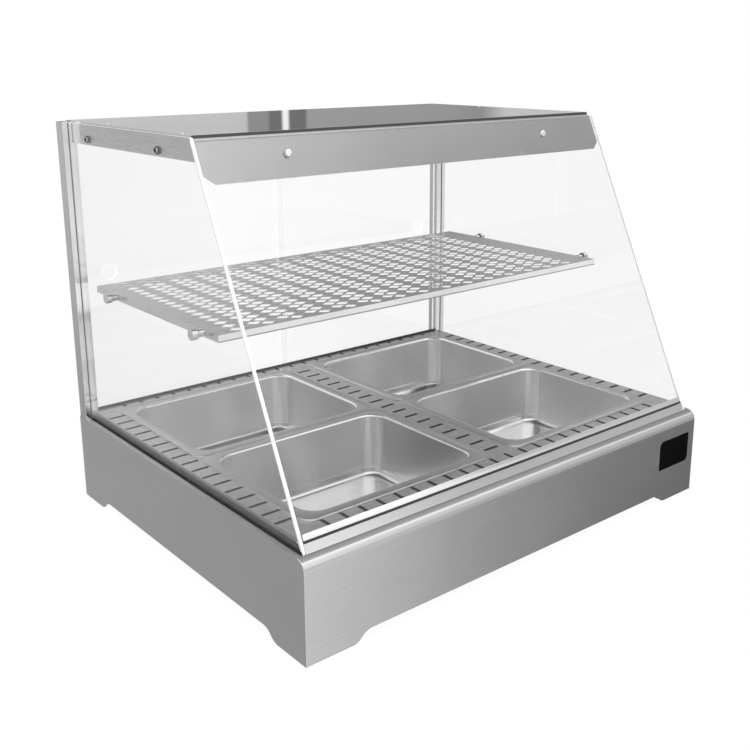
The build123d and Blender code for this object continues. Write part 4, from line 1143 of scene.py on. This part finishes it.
def set_floor():
    """Pale floor that keeps a faint shadow."""
    floor = add_plane("floor", (0, 0, -FLOOR_DROP), FLOOR_SIZE)
    material, tree, shader, place = new_material("pale floor")
    shader.inputs["Base Color"].default_value = (*grey(FLOOR_TONE), 1)
    rough = rescale(tree, noise(tree, place, 3.0), 0.2, 0.8, *FLOOR_ROUGHNESS)
    tree.links.new(rough, shader.inputs["Roughness"])
    glow = tree.nodes.new("ShaderNodeEmission")
    glow.inputs["Strength"].default_value = FLOOR_GLOW
    path = tree.nodes.new("ShaderNodeLightPath")
    bounces = maths(tree, "ADD", path.outputs["Glossy Depth"], path.outputs["Diffuse Depth"])
    seen = maths(tree, "LESS_THAN", bounces, 0.5)
    share = maths(tree, "MULTIPLY", seen, FLOOR_GLOW_SHARE)
    show_shader(tree, mix_shaders(tree, share, shader.outputs["BSDF"], glow.outputs["Emission"]))
    floor.data.materials.append(material)
    floor.visible_glossy = False


def turn_share(degrees):
    """Return a bearing as a share of the whole turn, with the front in the middle."""
    return degrees / 360 + 0.5


def compass(tree, turn, levels):
    """Return the brightness at each bearing, eased between the given ones."""
    ramp = tree.nodes.new("ShaderNodeValToRGB")
    tree.links.new(turn, ramp.inputs["Fac"])
    stops = ramp.color_ramp.elements
    stops.remove(stops[1])
    for index, (degrees, level) in enumerate(levels):
        stop = stops.new(turn_share(degrees)) if index else stops[0]
        stop.color = (*grey(level / STUDIO_PEAK), 1)
    return maths(tree, "MULTIPLY", ramp.outputs["Color"], STUDIO_PEAK)


def set_world():
    """White background, and soft studio walls, floor and overhead light that the metal reflects."""
    world = bpy.data.worlds.new("studio")
    bpy.context.scene.world = world
    world.use_nodes = True
    tree = world.node_tree
    background = tree.nodes["Background"]
    direction = tree.nodes.new("ShaderNodeTexCoord").outputs["Generated"]
    front = maths(tree, "MULTIPLY", along(tree, direction, "Y"), -1.0)
    bearing = maths(tree, "ARCTAN2", along(tree, direction, "X"), front)
    turn = maths(tree, "ADD", maths(tree, "DIVIDE", bearing, 2 * math.pi), 0.5)
    height = along(tree, direction, "Z")
    walls = compass(tree, turn, STUDIO_WALLS)
    for start, end, band in STUDIO_BANDS:
        edges = [rise(tree, turn, turn_share(degrees - ease), turn_share(degrees + ease))
                 for degrees, ease in ((start, STUDIO_BAND_EASE), (end, -STUDIO_BAND_EASE))]
        walls = between(tree, both(tree, *edges), walls, band)
    level = between(tree, rise(tree, height, *FLOOR_TO_WALLS), compass(tree, turn, STUDIO_FLOOR),
                    walls)
    level = between(tree, rise(tree, height, *WALLS_TO_UPPER), level,
                    compass(tree, turn, STUDIO_UPPER))
    level = between(tree, rise(tree, height, *UPPER_TO_OVERHEAD), level, STUDIO_OVERHEAD)
    path = tree.nodes.new("ShaderNodeLightPath")
    mirrored = maths(tree, "GREATER_THAN", path.outputs["Glossy Depth"], 0.5)
    scattered = maths(tree, "GREATER_THAN", path.outputs["Diffuse Depth"], 0.5)
    level = between(tree, mirrored, 1.0, level)
    level = between(tree, scattered, level, STUDIO_FILL)
    tree.links.new(level, background.inputs["Strength"])
    background.inputs["Color"].default_value = (1, 1, 1, 1)


def add_lamp(name, place, size, power):
    """Soft lamp aimed at the case, out of sight of mirrors and glass."""
    data = bpy.data.lights.new(name, "AREA")
    data.shape = "RECTANGLE"
    data.size, data.size_y = size
    data.energy = power
    lamp = bpy.data.objects.new(name, data)
    bpy.context.scene.collection.objects.link(lamp)
    aim = (Vector(LAMP_TARGET) - Vector(place)).to_track_quat("-Z", "Y").to_matrix().to_4x4()
    lamp.matrix_world = Matrix.Translation(place) @ aim
    lamp.visible_glossy = False
    lamp.visible_transmission = False


def set_light():
    """Soft studio light from above left and a little from the right."""
    for name, (place, size, power) in LAMPS.items():
        add_lamp(name, place, size, power)


dress_nodes()
make_pans()
make_shelf()
make_door_shade_strip()
make_badge_plate()
make_screws()
make_glass_foot()
set_camera()
set_floor()
set_world()
set_light()
bpy.context.scene.view_settings.view_transform = "Standard"
